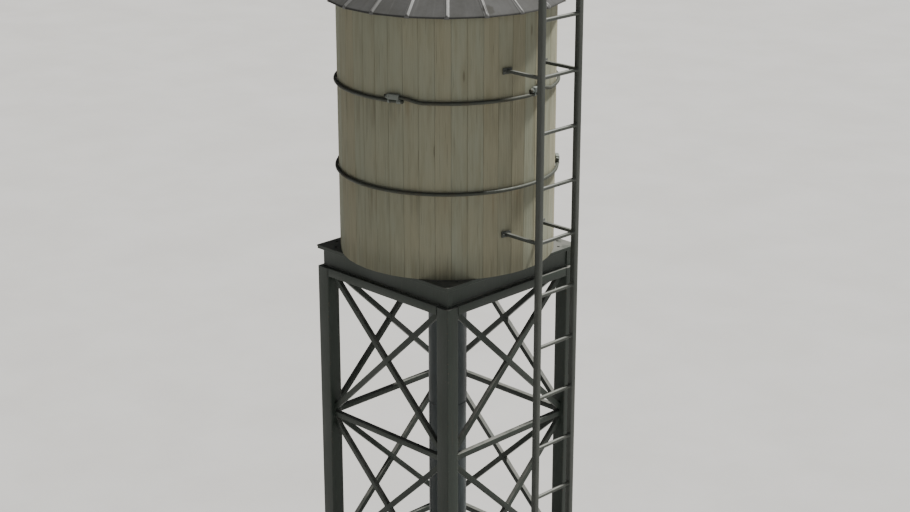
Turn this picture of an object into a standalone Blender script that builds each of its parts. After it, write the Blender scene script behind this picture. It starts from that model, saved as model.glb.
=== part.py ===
"""Wooden stave water tank with a conical roof, on a braced four-legged steel tower with a ladder.

Metres, +Z up. The origin is on the ground under the riser pipe, on the tower's axis. The faces of the
tower look along +X, -X, +Y and -Y, and the ladder stands in front of the +X face.
"""

import math

import bmesh
import bpy
from mathutils import Matrix, Vector

# Clearance between touching pieces
GAP = 0.0003

# Tower
DECK_TOP = 4.50
LEG_SPACING = 1.451
LEG_SIDE = 0.128
LEG_RADIUS = 0.010
PANELS = 3
PANEL_HEIGHT = 1.38
TOP_NODE_DROP = 0.18
BRACE_WIDTH = 0.046
BRACE_DEPTH = 0.040
STRUT_HEIGHT = 0.050
STRUT_DEPTH = 0.046
BAR_EDGE = 0.004
FOOT_PLATE_SIDE = 0.230
FOOT_PLATE_THICKNESS = 0.018

# Platform
DECK_SIDE = 1.584
DECK_THICKNESS = 0.035
BEAM_OUTSIDE = 1.514
BEAM_WIDTH = 0.060
BEAM_DEPTH = 0.155
LEDGE_HEIGHT = 0.070
LEDGE_WIDTH = 0.050
JOIST_SPACING = 0.640
JOIST_WIDTH = 0.060
JOIST_DEPTH = 0.120

# Riser pipe
RISER_RADIUS = 0.166
RISER_FLANGE_RADIUS = 0.235
RISER_FLANGE_THICKNESS = 0.025
RISER_SIDES = 48

# Tank
TANK_RADIUS = 0.915
STAVES = 44
STAVE_THICKNESS = 0.045
TANK_FLOOR_THICKNESS = 0.045
HOOP_HEIGHTS = (0.732, 1.479)
HOOP_ROD = 0.030
HOOP_SIDES = 10
HOOP_STEPS = 88
LUG_ANGLES = ((47.0, 125.0, 203.0), (6.0, 84.0, 162.0, 288.0))
LUG_LENGTH = 0.110
LUG_HEIGHT = 0.085
LUG_DEPTH = 0.042

# Roof
ROOF_PANELS = 20
SEAM_PHASE = math.radians(-45)
ROOF_RADIUS = 1.010
EAVE_HEIGHT = 2.168
ROOF_SLOPE = 0.70
ROOF_THICKNESS = 0.014
ROOF_HOLE_RADIUS = 0.060
CAP_RADIUS = 0.130
CAP_THICKNESS = 0.012
SEAM_WIDTH = 0.040
SEAM_TOP_WIDTH = 0.026
SEAM_HEIGHT = 0.022
SEAM_START = 0.162
SEAM_END = 1.004

# Ladder
LADDER_DISTANCE = 1.255
LADDER_WIDTH = 0.435
RAIL_SIDE = 0.048
LADDER_TOP = 7.22
RUNG_PITCH = 0.4525
LOWEST_RUNG = 0.328
RUNGS = 16
RUNG_RADIUS = 0.0165
RUNG_SIDES = 12
LADDER_FOOT_SIDE = 0.100
LADDER_FOOT_THICKNESS = 0.010
ARM_RUNGS = (10, 13)
ARM_WIDTH = 0.028
ARM_HEIGHT = 0.026
ARM_FOOT_WIDTH = 0.085
ARM_FOOT_HEIGHT = 0.050
ARM_FOOT_THICKNESS = 0.012

# Derived places
HALF_SPACING = LEG_SPACING / 2
LEG_INNER = HALF_SPACING - LEG_SIDE / 2
LEG_OUTER = HALF_SPACING + LEG_SIDE / 2
LEG_TOP = DECK_TOP - DECK_THICKNESS - BEAM_DEPTH
LEDGE_BOTTOM = LEG_TOP - LEDGE_HEIGHT
FACES = {"front": 0.0, "right": 90.0, "back": 180.0, "left": 270.0}


def clear_scene():
    """Remove everything that the startup scene holds."""
    for obj in list(bpy.data.objects):
        bpy.data.objects.remove(obj, do_unlink=True)


def material(name, color, roughness, metallic=0.0):
    """Make a plain material for one kind of surface."""
    made = bpy.data.materials.new(name)
    made.use_nodes = True
    shader = made.node_tree.nodes["Principled BSDF"]
    shader.inputs["Base Color"].default_value = (*color, 1.0)
    shader.inputs["Roughness"].default_value = roughness
    shader.inputs["Metallic"].default_value = metallic
    return made


def put(name, bm, surface, sharp_angle=35.0):
    """Link a bmesh as a named object with one material and smooth round faces."""
    bmesh.ops.recalc_face_normals(bm, faces=bm.faces)
    mesh = bpy.data.meshes.new(name)
    bm.to_mesh(mesh)
    bm.free()
    mesh.materials.append(surface)
    mesh.shade_smooth()
    mesh.set_sharp_from_angle(angle=math.radians(sharp_angle))
    obj = bpy.data.objects.new(name, mesh)
    bpy.context.scene.collection.objects.link(obj)
    return obj


def helper(name, bm):
    """Link a bmesh as a cutter or an addend, which is no part of the tower itself."""
    bmesh.ops.recalc_face_normals(bm, faces=bm.faces)
    mesh = bpy.data.meshes.new(name)
    bm.to_mesh(mesh)
    bm.free()
    obj = bpy.data.objects.new(name, mesh)
    bpy.context.scene.collection.objects.link(obj)
    obj.hide_render = True
    obj.display_type = "WIRE"
    return obj


def combine(obj, other, operation):
    """Add a Boolean modifier that joins or trims an object with a helper."""
    modifier = obj.modifiers.new(operation.title(), "BOOLEAN")
    modifier.operation = operation
    modifier.solver = "EXACT"
    modifier.object = other


def box(bm, low, high, bevel=0.0):
    """Add a box between two corners, with bevelled edges if asked."""
    centre = [(a + b) / 2 for a, b in zip(low, high)]
    size = [b - a for a, b in zip(low, high)]
    place = Matrix.Translation(centre) @ Matrix.Diagonal((*size, 1.0))
    verts = bmesh.ops.create_cube(bm, size=1.0, matrix=place)["verts"]
    if bevel:
        edges = {edge for vert in verts for edge in vert.link_edges}
        bmesh.ops.bevel(bm, geom=list(edges), offset=bevel, segments=1, profile=0.5, affect="EDGES")


def post(bm, centre, side, bottom, top, radius, segments=2):
    """Add a square post with rounded upright corners."""
    half = side / 2 - radius
    outline = []
    for quarter, (sx, sy) in enumerate(((1, 1), (-1, 1), (-1, -1), (1, -1))):
        for step in range(segments + 1):
            angle = math.radians(90 * (quarter + step / segments))
            x = centre[0] + sx * half + radius * math.cos(angle)
            y = centre[1] + sy * half + radius * math.sin(angle)
            outline.append((x, y))
    prism(bm, outline, bottom, top)


def prism(bm, outline, bottom, top):
    """Add an upright prism over an outline given counter-clockwise."""
    lower = [bm.verts.new((x, y, bottom)) for x, y in outline]
    upper = [bm.verts.new((x, y, top)) for x, y in outline]
    bm.faces.new(lower[::-1])
    bm.faces.new(upper)
    count = len(outline)
    for i in range(count):
        j = (i + 1) % count
        bm.faces.new((lower[i], lower[j], upper[j], upper[i]))


def slab(bm, outline, front, back):
    """Add an upright slab over an outline of (x, z) points, between two distances along Y."""
    near = [bm.verts.new((x, front, z)) for x, z in outline]
    far = [bm.verts.new((x, back, z)) for x, z in outline]
    bm.faces.new(near)
    bm.faces.new(far[::-1])
    count = len(outline)
    for i in range(count):
        j = (i + 1) % count
        bm.faces.new((near[j], near[i], far[i], far[j]))


def turned(bm, profile, sides, phase=0.0):
    """Turn a closed profile of (radius, height) points round the Z axis."""
    rings = []
    for i in range(sides):
        angle = 2 * math.pi * i / sides + phase
        ring = [bm.verts.new((r * math.cos(angle), r * math.sin(angle), z)) for r, z in profile]
        rings.append(ring)
    count = len(profile)
    for i in range(sides):
        this, following = rings[i], rings[(i + 1) % sides]
        for k in range(count):
            m = (k + 1) % count
            bm.faces.new((this[k], following[k], following[m], this[m]))


def spindle(bm, profile, sides, phase=0.0):
    """Turn an open profile of (radius, height) points whose first and last points are on the axis."""
    bottom = bm.verts.new((0, 0, profile[0][1]))
    top = bm.verts.new((0, 0, profile[-1][1]))
    rings = []
    for r, z in profile[1:-1]:
        around = [2 * math.pi * i / sides + phase for i in range(sides)]
        rings.append([bm.verts.new((r * math.cos(a), r * math.sin(a), z)) for a in around])
    for i in range(sides):
        j = (i + 1) % sides
        bm.faces.new((bottom, rings[0][j], rings[0][i]))
        bm.faces.new((top, rings[-1][i], rings[-1][j]))
        for lower, upper in zip(rings, rings[1:]):
            bm.faces.new((lower[i], lower[j], upper[j], upper[i]))


def rod(bm, start, end, radius, sides):
    """Add a round rod between two points."""
    start, end = Vector(start), Vector(end)
    along = end - start
    turn = along.to_track_quat("Z", "Y").to_matrix().to_4x4()
    place = Matrix.Translation((start + end) / 2) @ turn
    bmesh.ops.create_cone(
        bm,
        cap_ends=True,
        segments=sides,
        radius1=radius,
        radius2=radius,
        depth=along.length,
        matrix=place,
    )


def turn_to_face(bm, degrees):
    """Turn geometry made for the front face, which looks along -Y, to another face."""
    bmesh.ops.rotate(
        bm,
        verts=bm.verts,
        cent=(0, 0, 0),
        matrix=Matrix.Rotation(math.radians(degrees), 3, "Z"),
    )


def node_height(index):
    """Height of the bracing node that ends the panel of this number, counted from the top."""
    return DECK_TOP - TOP_NODE_DROP - index * PANEL_HEIGHT


def make_legs(surface):
    """Four box posts, each with a plate under its foot."""
    corners = {"front_right": (1, -1), "back_right": (1, 1), "back_left": (-1, 1), "front_left": (-1, -1)}
    for name, (sx, sy) in corners.items():
        x, y = sx * HALF_SPACING, sy * HALF_SPACING
        bm = bmesh.new()
        post(bm, (x, y), LEG_SIDE, FOOT_PLATE_THICKNESS / 2, LEG_TOP - GAP, LEG_RADIUS)
        leg = put(f"leg_{name}", bm, surface)
        plate = bmesh.new()
        half = FOOT_PLATE_SIDE / 2
        box(plate, (x - half, y - half, 0), (x + half, y + half, FOOT_PLATE_THICKNESS))
        combine(leg, helper(f"foot_plate_{name}", plate), "UNION")


def make_struts(surface):
    """The level bars between the legs at the foot of each panel."""
    reach = LEG_INNER - GAP
    for level in range(1, PANELS + 1):
        z = node_height(level)
        for face, degrees in FACES.items():
            bm = bmesh.new()
            low = (-reach, -HALF_SPACING - STRUT_DEPTH / 2, z - STRUT_HEIGHT / 2)
            high = (reach, -HALF_SPACING + STRUT_DEPTH / 2, z + STRUT_HEIGHT / 2)
            box(bm, low, high, BAR_EDGE)
            turn_to_face(bm, degrees)
            put(f"strut_{level}_{face}", bm, surface)


def crossed_bars(half_width, low, high):
    """Outline, in (x, z), of two bars that cross between the corners of a panel, run on past all four."""
    centre = Vector((0, (low + high) / 2))
    rising = Vector((2 * half_width, high - low)).normalized()
    across = Vector((-rising.y, rising.x)) * BRACE_WIDTH / 2
    reach = rising * (Vector((half_width, (high - low) / 2)).length + 2 * BRACE_WIDTH)
    side_notch = BRACE_WIDTH / 2 / rising.y
    end_notch = BRACE_WIDTH / 2 / rising.x
    mirror = Vector((-1, 1))
    outline = [
        Vector((side_notch, 0)),
        reach - across,
        reach + across,
        Vector((0, end_notch)),
        (reach + across) * mirror,
        (reach - across) * mirror,
        Vector((-side_notch, 0)),
        -reach + across,
        -reach - across,
        Vector((0, -end_notch)),
        (-reach - across) * mirror,
        (-reach + across) * mirror,
    ]
    return [centre + point for point in outline]


def clipped(outline, axis, limit, side):
    """The part of an outline on one side of a line: side 1 keeps what is over the limit, -1 what is under."""
    kept = []
    for this, following in zip(outline, outline[1:] + outline[:1]):
        a, b = side * (this[axis] - limit), side * (following[axis] - limit)
        if a >= 0:
            kept.append(this)
        if a * b < 0:
            kept.append(this + (following - this) * (a / (a - b)))
    return kept


def make_braces(surface):
    """The crossed bars of each panel, welded where they cross and cut to the legs, struts and beams."""
    reach = LEG_INNER - GAP
    for panel in range(1, PANELS + 1):
        top, bottom = node_height(panel - 1), node_height(panel)
        ceiling = LEDGE_BOTTOM if panel == 1 else top - STRUT_HEIGHT / 2
        outline = crossed_bars(HALF_SPACING, bottom, top)
        outline = clipped(outline, 0, reach, -1)
        outline = clipped(outline, 0, -reach, 1)
        outline = clipped(outline, 1, ceiling - GAP, -1)
        outline = clipped(outline, 1, bottom + STRUT_HEIGHT / 2 + GAP, 1)
        for face, degrees in FACES.items():
            bm = bmesh.new()
            slab(bm, outline, -HALF_SPACING - BRACE_DEPTH / 2, -HALF_SPACING + BRACE_DEPTH / 2)
            turn_to_face(bm, degrees)
            put(f"brace_{panel}_{face}", bm, surface)


def make_top_beams(surface):
    """The beam over the leg heads on each face, with the ledge member that ties the two legs below it."""
    half = BEAM_OUTSIDE / 2
    for face, degrees in FACES.items():
        through = face in ("front", "back")
        reach = half if through else half - BEAM_WIDTH - GAP
        bm = bmesh.new()
        box(bm, (-reach, -half, LEG_TOP), (reach, -half + BEAM_WIDTH, LEG_TOP + BEAM_DEPTH - GAP), BAR_EDGE)
        turn_to_face(bm, degrees)
        beam = put(f"top_beam_{face}", bm, surface)
        ledge = bmesh.new()
        reach = LEG_INNER - GAP
        low = (-reach, -LEG_OUTER, LEDGE_BOTTOM)
        box(ledge, low, (reach, -LEG_OUTER + LEDGE_WIDTH, LEG_TOP + 2 * BAR_EDGE))
        turn_to_face(ledge, degrees)
        combine(beam, helper(f"ledge_{face}", ledge), "UNION")


def make_deck(surface):
    """The platform plate with two joists under it."""
    half = DECK_SIDE / 2
    bm = bmesh.new()
    box(bm, (-half, -half, DECK_TOP - DECK_THICKNESS), (half, half, DECK_TOP))
    deck = put("deck", bm, surface)
    reach = BEAM_OUTSIDE / 2 - BEAM_WIDTH - GAP
    for name, side in (("joist_near", -1), ("joist_far", 1)):
        joist = bmesh.new()
        y = side * JOIST_SPACING / 2
        low = (-reach, y - JOIST_WIDTH / 2, DECK_TOP - DECK_THICKNESS - JOIST_DEPTH)
        box(joist, low, (reach, y + JOIST_WIDTH / 2, DECK_TOP - DECK_THICKNESS / 2))
        combine(deck, helper(name, joist), "UNION")


def make_riser(surface):
    """The pipe from the ground to the platform, on a blank foot flange."""
    top = DECK_TOP - DECK_THICKNESS - GAP
    profile = [
        (0, 0),
        (RISER_FLANGE_RADIUS, 0),
        (RISER_FLANGE_RADIUS, RISER_FLANGE_THICKNESS),
        (RISER_RADIUS, RISER_FLANGE_THICKNESS),
        (RISER_RADIUS, top),
        (0, top),
    ]
    bm = bmesh.new()
    spindle(bm, profile, RISER_SIDES)
    put("riser", bm, surface)


def roof_underside(radius):
    """Height of the middle of a roof panel's underside at this distance from the axis."""
    flat = ROOF_RADIUS * math.cos(math.pi / ROOF_PANELS)
    slope = ROOF_SLOPE * ROOF_RADIUS / flat
    return DECK_TOP + EAVE_HEIGHT + slope * (flat - radius)


def make_tank(surface):
    """The shell of staves and the floor inside it."""
    inner = TANK_RADIUS - STAVE_THICKNESS
    bottom = DECK_TOP + GAP
    top = roof_underside(TANK_RADIUS) - GAP
    bm = bmesh.new()
    turned(bm, [(inner, bottom), (TANK_RADIUS, bottom), (TANK_RADIUS, top), (inner, top)], 2 * STAVES)
    put("tank_wall", bm, surface)
    bm = bmesh.new()
    edge = (inner - GAP) * math.cos(math.pi / (2 * STAVES))
    floor_top = bottom + TANK_FLOOR_THICKNESS
    spindle(bm, [(0, bottom), (edge, bottom), (edge, floor_top), (0, floor_top)], 2 * STAVES)
    put("tank_floor", bm, surface)


def make_hoops(surface):
    """The round hoops that clamp the staves, each of several rods that meet in cast lugs."""
    centre = TANK_RADIUS + GAP + HOOP_ROD / 2
    for number, (height, angles) in enumerate(zip(HOOP_HEIGHTS, LUG_ANGLES), start=1):
        z = DECK_TOP + height
        profile = []
        for i in range(HOOP_SIDES):
            a = 2 * math.pi * i / HOOP_SIDES
            profile.append((centre + HOOP_ROD / 2 * math.cos(a), z + HOOP_ROD / 2 * math.sin(a)))
        bm = bmesh.new()
        turned(bm, profile, HOOP_STEPS)
        hoop = put(f"hoop_{number}", bm, surface)
        near = TANK_RADIUS + 0.002
        low = (near, -LUG_LENGTH / 2, z - LUG_HEIGHT / 4)
        high = (near + LUG_DEPTH, LUG_LENGTH / 2, z + 3 * LUG_HEIGHT / 4)
        for place, angle in enumerate(angles, start=1):
            lug = bmesh.new()
            box(lug, low, high, 0.006)
            turn_to_face(lug, angle)
            combine(hoop, helper(f"lug_{number}_{place}", lug), "UNION")


def roof_seams():
    """Geometry of the raised seams, one bar astride each joint between two panels, from the cap to the eave."""
    top = DECK_TOP + EAVE_HEIGHT + ROOF_THICKNESS
    half, crest = SEAM_WIDTH / 2, SEAM_TOP_WIDTH / 2
    sink = -ROOF_THICKNESS / 2
    profile = [(-half, sink), (half, sink), (half, 0), (crest, SEAM_HEIGHT), (-crest, SEAM_HEIGHT), (-half, 0)]
    bm = bmesh.new()
    for number in range(ROOF_PANELS):
        angle = SEAM_PHASE + 2 * math.pi * number / ROOF_PANELS
        turn = Matrix.Rotation(angle, 3, "Z")
        ends = []
        for radius in (SEAM_START, SEAM_END):
            ridge = top + ROOF_SLOPE * (ROOF_RADIUS - radius)
            ends.append([bm.verts.new(turn @ Vector((radius, y, ridge + z))) for y, z in profile])
        inner, outer = ends
        bm.faces.new(inner[::-1])
        bm.faces.new(outer)
        for i in range(len(profile)):
            j = (i + 1) % len(profile)
            bm.faces.new((inner[i], inner[j], outer[j], outer[i]))
    return bm


def make_roof(surface):
    """The cone of flat metal panels with their raised seams, open at its apex under the cap."""
    eave = DECK_TOP + EAVE_HEIGHT
    rise = ROOF_SLOPE * (ROOF_RADIUS - ROOF_HOLE_RADIUS)
    profile = [
        (ROOF_RADIUS, eave),
        (ROOF_RADIUS, eave + ROOF_THICKNESS),
        (ROOF_HOLE_RADIUS, eave + ROOF_THICKNESS + rise),
        (ROOF_HOLE_RADIUS, eave + rise),
    ]
    bm = bmesh.new()
    turned(bm, profile, ROOF_PANELS, SEAM_PHASE)
    roof = put("roof", bm, surface, 10.0)
    combine(roof, helper("roof_seams", roof_seams()), "UNION")


def make_roof_cap(surface):
    """The small cone that closes the roof's apex."""
    apex = DECK_TOP + EAVE_HEIGHT + ROOF_THICKNESS + ROOF_SLOPE * ROOF_RADIUS
    skirt = apex - ROOF_SLOPE * CAP_RADIUS + GAP
    profile = [(0, apex + GAP), (CAP_RADIUS, skirt), (CAP_RADIUS, skirt + CAP_THICKNESS), (0, apex + CAP_THICKNESS)]
    bm = bmesh.new()
    spindle(bm, profile, ROOF_PANELS, SEAM_PHASE)
    put("roof_cap", bm, surface)


def make_ladder(surface):
    """Two square rails with round rungs, standing on small foot plates."""
    bm = bmesh.new()
    x = LADDER_DISTANCE
    half = RAIL_SIDE / 2
    y = LADDER_WIDTH / 2
    box(bm, (x - half, -y - half, LADDER_FOOT_THICKNESS / 2), (x + half, -y + half, LADDER_TOP), BAR_EDGE)
    ladder = put("ladder", bm, surface)
    rail = bmesh.new()
    box(rail, (x - half, y - half, LADDER_FOOT_THICKNESS / 2), (x + half, y + half, LADDER_TOP), BAR_EDGE)
    rungs = bmesh.new()
    for number in range(RUNGS):
        z = LOWEST_RUNG + number * RUNG_PITCH
        rod(rungs, (x, -y, z), (x, y, z), RUNG_RADIUS, RUNG_SIDES)
    feet = bmesh.new()
    foot = LADDER_FOOT_SIDE / 2
    for side in (-y, y):
        low = (x - foot, side - foot, 0)
        box(feet, low, (x + foot, side + foot, LADDER_FOOT_THICKNESS))
    combine(ladder, helper("far_rail", rail), "UNION")
    combine(ladder, helper("rungs", rungs), "UNION")
    combine(ladder, helper("ladder_feet", feet), "UNION")


def make_ladder_arms(surface):
    """The arms that hold the rails off the tank, each on a foot plate that lies on a stave."""
    offset = LADDER_WIDTH / 2
    angle = math.asin(offset / TANK_RADIUS)
    flat = TANK_RADIUS + GAP
    rail_face = LADDER_DISTANCE - RAIL_SIDE / 2 - GAP
    for level, rung in zip(("lower", "upper"), ARM_RUNGS):
        z = LOWEST_RUNG + rung * RUNG_PITCH
        for side, sign in (("near", -1), ("far", 1)):
            foot = bmesh.new()
            low = (flat, -ARM_FOOT_WIDTH / 2, z - ARM_FOOT_HEIGHT / 2)
            high = (flat + ARM_FOOT_THICKNESS, ARM_FOOT_WIDTH / 2, z + ARM_FOOT_HEIGHT / 2)
            box(foot, low, high)
            turn_to_face(foot, math.degrees(sign * angle))
            arm = put(f"ladder_arm_{level}_{side}", foot, surface)
            bar = bmesh.new()
            start = flat * math.cos(angle) + ARM_FOOT_THICKNESS
            y = sign * offset
            low = (start, y - ARM_WIDTH / 2, z - ARM_HEIGHT / 2)
            box(bar, low, (rail_face, y + ARM_WIDTH / 2, z + ARM_HEIGHT / 2))
            combine(arm, helper(f"arm_bar_{level}_{side}", bar), "UNION")


def main():
    """Build the whole tower."""
    clear_scene()
    steel = material("painted_steel", (0.045, 0.055, 0.045), 0.55)
    pipe = material("riser_paint", (0.060, 0.075, 0.080), 0.50)
    wood = material("weathered_wood", (0.290, 0.260, 0.190), 0.80)
    rod_steel = material("hoop_steel", (0.120, 0.110, 0.100), 0.60, 0.6)
    sheet = material("roof_sheet", (0.420, 0.430, 0.430), 0.40, 0.8)
    rail = material("ladder_steel", (0.300, 0.310, 0.300), 0.45, 0.6)
    make_legs(steel)
    make_struts(steel)
    make_braces(steel)
    make_top_beams(steel)
    make_deck(steel)
    make_riser(pipe)
    make_tank(wood)
    make_hoops(rod_steel)
    make_roof(sheet)
    make_roof_cap(sheet)
    make_ladder(rail)
    make_ladder_arms(rail)


main()
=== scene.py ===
"""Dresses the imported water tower: stave tank, seamed metal roof, braced steel tower, riser pipe and ladder."""

import logging
import math
from dataclasses import dataclass, field
from enum import Enum
from typing import Any, Iterable, Sequence

import bmesh
import bpy
from bmesh.types import BMesh
from bpy.types import Material, Mesh, Object
from bpy.types import NodeSocket as Socket
from mathutils import Matrix, Vector


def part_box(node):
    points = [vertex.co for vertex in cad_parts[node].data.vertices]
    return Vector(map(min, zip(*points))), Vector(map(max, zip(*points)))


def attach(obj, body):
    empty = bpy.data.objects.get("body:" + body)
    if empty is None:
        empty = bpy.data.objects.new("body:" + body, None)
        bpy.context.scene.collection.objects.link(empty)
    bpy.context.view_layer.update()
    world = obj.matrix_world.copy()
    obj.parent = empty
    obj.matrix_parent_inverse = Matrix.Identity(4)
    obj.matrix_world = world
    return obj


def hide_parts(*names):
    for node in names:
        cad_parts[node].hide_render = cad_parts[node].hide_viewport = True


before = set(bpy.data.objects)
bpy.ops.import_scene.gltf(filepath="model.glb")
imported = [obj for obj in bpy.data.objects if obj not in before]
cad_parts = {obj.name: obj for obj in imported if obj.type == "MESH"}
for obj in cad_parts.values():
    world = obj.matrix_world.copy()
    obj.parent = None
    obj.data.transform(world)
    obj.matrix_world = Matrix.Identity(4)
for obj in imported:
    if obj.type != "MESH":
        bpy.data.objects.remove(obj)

LOG = logging.getLogger("water_tower")
BODY = "root"
EDGE, TONE, SHIFT, GRAIN, FACING = "edge", "tone", "shift", "grain", "facing"
CLEARANCE = 0.0003
UP = Vector((0, 0, 1))
QUARTERS = ((1, 1), (-1, 1), (-1, -1), (1, -1))
Colour = tuple[float, float, float]
Loop = list[bmesh.types.BMVert]
Segment = tuple[Vector, Vector]


class Slot(Enum):
    """The record's material slots."""

    TOWER = "tower_steel"
    RISER = "riser_paint"
    WOOD = "tank_wood"
    HOOP = "hoop_steel"
    ROOF = "roof_sheet"
    LADDER = "ladder_steel"


class Side(Enum):
    """The tower's four sides, by the degrees that turn the front side to them."""

    FRONT = 0
    RIGHT = 90
    BACK = 180
    LEFT = 270

    @property
    def word(self) -> str:
        """The side's name in the names of the CAD nodes."""
        return self.name.lower()

    @property
    def turn(self) -> Matrix:
        """The turn that takes geometry from the front side to this one."""
        return Matrix.Rotation(math.radians(self.value), 4, "Z")


def screen(*shown: float) -> Colour:
    """Turn red, green and blue from 0 to 255, as a screen shows them, into a shader's linear colour."""
    return tuple(v / 12.92 if v <= 0.04045 else ((v + 0.055) / 1.055) ** 2.4 for v in (s / 255 for s in shown))


# Node trees

class NodeTree:
    """A node tree that is built one node at a time."""

    def __init__(self, tree: bpy.types.NodeTree) -> None:
        """Keep the tree that the nodes go into."""
        self.tree = tree

    def add(self, kind: str, inputs: dict[Any, Any] | None = None, **settings: Any) -> bpy.types.Node:
        """Add a node.

        Args:
            kind: Blender's name for the kind of node.
            inputs: values or sockets, by the name or number of the input that they go to.
            settings: properties of the node.

        Returns:
            The new node.
        """
        node = self.tree.nodes.new(kind)
        for name, value in settings.items():
            setattr(node, name, value)
        for key, value in (inputs or {}).items():
            self.feed(node.inputs[key], value)
        return node

    def feed(self, socket: Socket, value: Any) -> None:
        """Give an input a value or a link.

        Args:
            socket: the input.
            value: another node's output, or a plain value.
        """
        if isinstance(value, Socket):
            self.tree.links.new(value, socket)
        elif socket.type == "RGBA":
            socket.default_value = (*value, 1.0)
        else:
            socket.default_value = value

    def out(self, kind: str, inputs: dict[Any, Any] | None = None, **settings: Any) -> Socket:
        """Add a node and hand over its first output."""
        return self.add(kind, inputs, **settings).outputs[0]

    def math(self, operation: str, *values: Any, clamp: bool = False) -> Socket:
        """Work out a number, which is kept from 0 to 1 where clamp is set."""
        return self.out("ShaderNodeMath", dict(enumerate(values)), operation=operation, use_clamp=clamp)

    def times(self, first: Any, second: Any) -> Socket:
        """Multiply two numbers."""
        return self.math("MULTIPLY", first, second)

    def plus(self, first: Any, second: Any) -> Socket:
        """Add two numbers."""
        return self.math("ADD", first, second)

    def vector(self, operation: str, *values: Any) -> Socket:
        """Work out a vector."""
        return self.out("ShaderNodeVectorMath", dict(enumerate(values)), operation=operation)


class Shader(NodeTree):
    """The node tree of one material, around its main shader."""

    def __init__(self, name: str) -> None:
        """Make the material and find its main shader.

        Args:
            name: the material's name.
        """
        self.material = bpy.data.materials.new(name)
        self.material.use_nodes = True
        super().__init__(self.material.node_tree)
        self.surface = self.tree.nodes["Principled BSDF"]
        self.place = self.add("ShaderNodeTexCoord").outputs["Object"]

    def parts(self, vector: Any) -> Sequence[Socket]:
        """The three numbers of a vector."""
        return self.add("ShaderNodeSeparateXYZ", {0: vector}).outputs

    def upward(self) -> Socket:
        """How far a surface faces up, from -1 to 1."""
        return self.parts(self.add("ShaderNodeNewGeometry").outputs["Normal"])[2]

    def mark(self, name: str) -> Socket:
        """The number that the mesh keeps under this name, or 0."""
        return self.add("ShaderNodeAttribute", attribute_name=name).outputs["Fac"]

    def span(self, value: Any, low: float, high: float, start: float = 0.0, end: float = 1.0) -> Socket:
        """Ease the numbers from low to high into those from start to end."""
        inputs = {"Value": value, "From Min": low, "From Max": high, "To Min": start, "To Max": end}
        return self.out("ShaderNodeMapRange", inputs, interpolation_type="SMOOTHSTEP")

    def noise(self, vector: Any, scale: float, detail: float = 3.0, rough: float = 0.5) -> Socket:
        """Read a noise pattern of so many features in a metre, mostly from 0.3 to 0.7."""
        inputs = {"Vector": vector, "Scale": scale, "Detail": detail, "Roughness": rough}
        return self.out("ShaderNodeTexNoise", inputs)

    def stretched(self, vector: Any, scale: Sequence[float], detail: float = 3.0, rough: float = 0.5) -> Socket:
        """Read a noise pattern that has a scale of its own along each axis."""
        return self.noise(self.vector("MULTIPLY", vector, tuple(scale)), 1.0, detail, rough)

    def cells(self, vector: Any, scale: float) -> tuple[Socket, Socket]:
        """Read a pattern of cells: how far the middle of one is, and the cell's own number from 0 to 1."""
        node = self.add("ShaderNodeTexVoronoi", {"Vector": vector, "Scale": scale})
        return node.outputs["Distance"], self.out("ShaderNodeSeparateColor", {0: node.outputs["Color"]})

    def mix(self, share: Any, under: Any, over: Any) -> Socket:
        """Lay a share of one colour over another."""
        return self.add("ShaderNodeMix", {0: share, 6: under, 7: over}, data_type="RGBA").outputs[2]

    def tinted(self, colour: Any, factor: Any) -> Socket:
        """Make a colour lighter or darker by a factor."""
        return self.out("ShaderNodeVectorMath", {0: colour, 3: factor}, operation="SCALE")

    def bump(self, height: Any, depth: float) -> Socket:
        """Turn a height into a bump that is so many metres deep where the height is 1."""
        return self.out("ShaderNodeBump", {"Height": height, "Distance": depth, "Strength": 1.0})

    def close(self, colour: Any, roughness: Any, normal: Any, metallic: float, specular: float) -> Material:
        """Wire the main shader.

        Args:
            colour: the base colour.
            roughness: the roughness.
            normal: the normal.
            metallic: how metallic the surface is.
            specular: how strongly a surface that is no metal reflects.

        Returns:
            The material.
        """
        values = {"Base Color": colour, "Roughness": roughness, "Normal": normal, "Metallic": metallic,
                  "Specular IOR Level": specular}
        for name, value in values.items():
            self.feed(self.surface.inputs[name], value)
        return self.material


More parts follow.
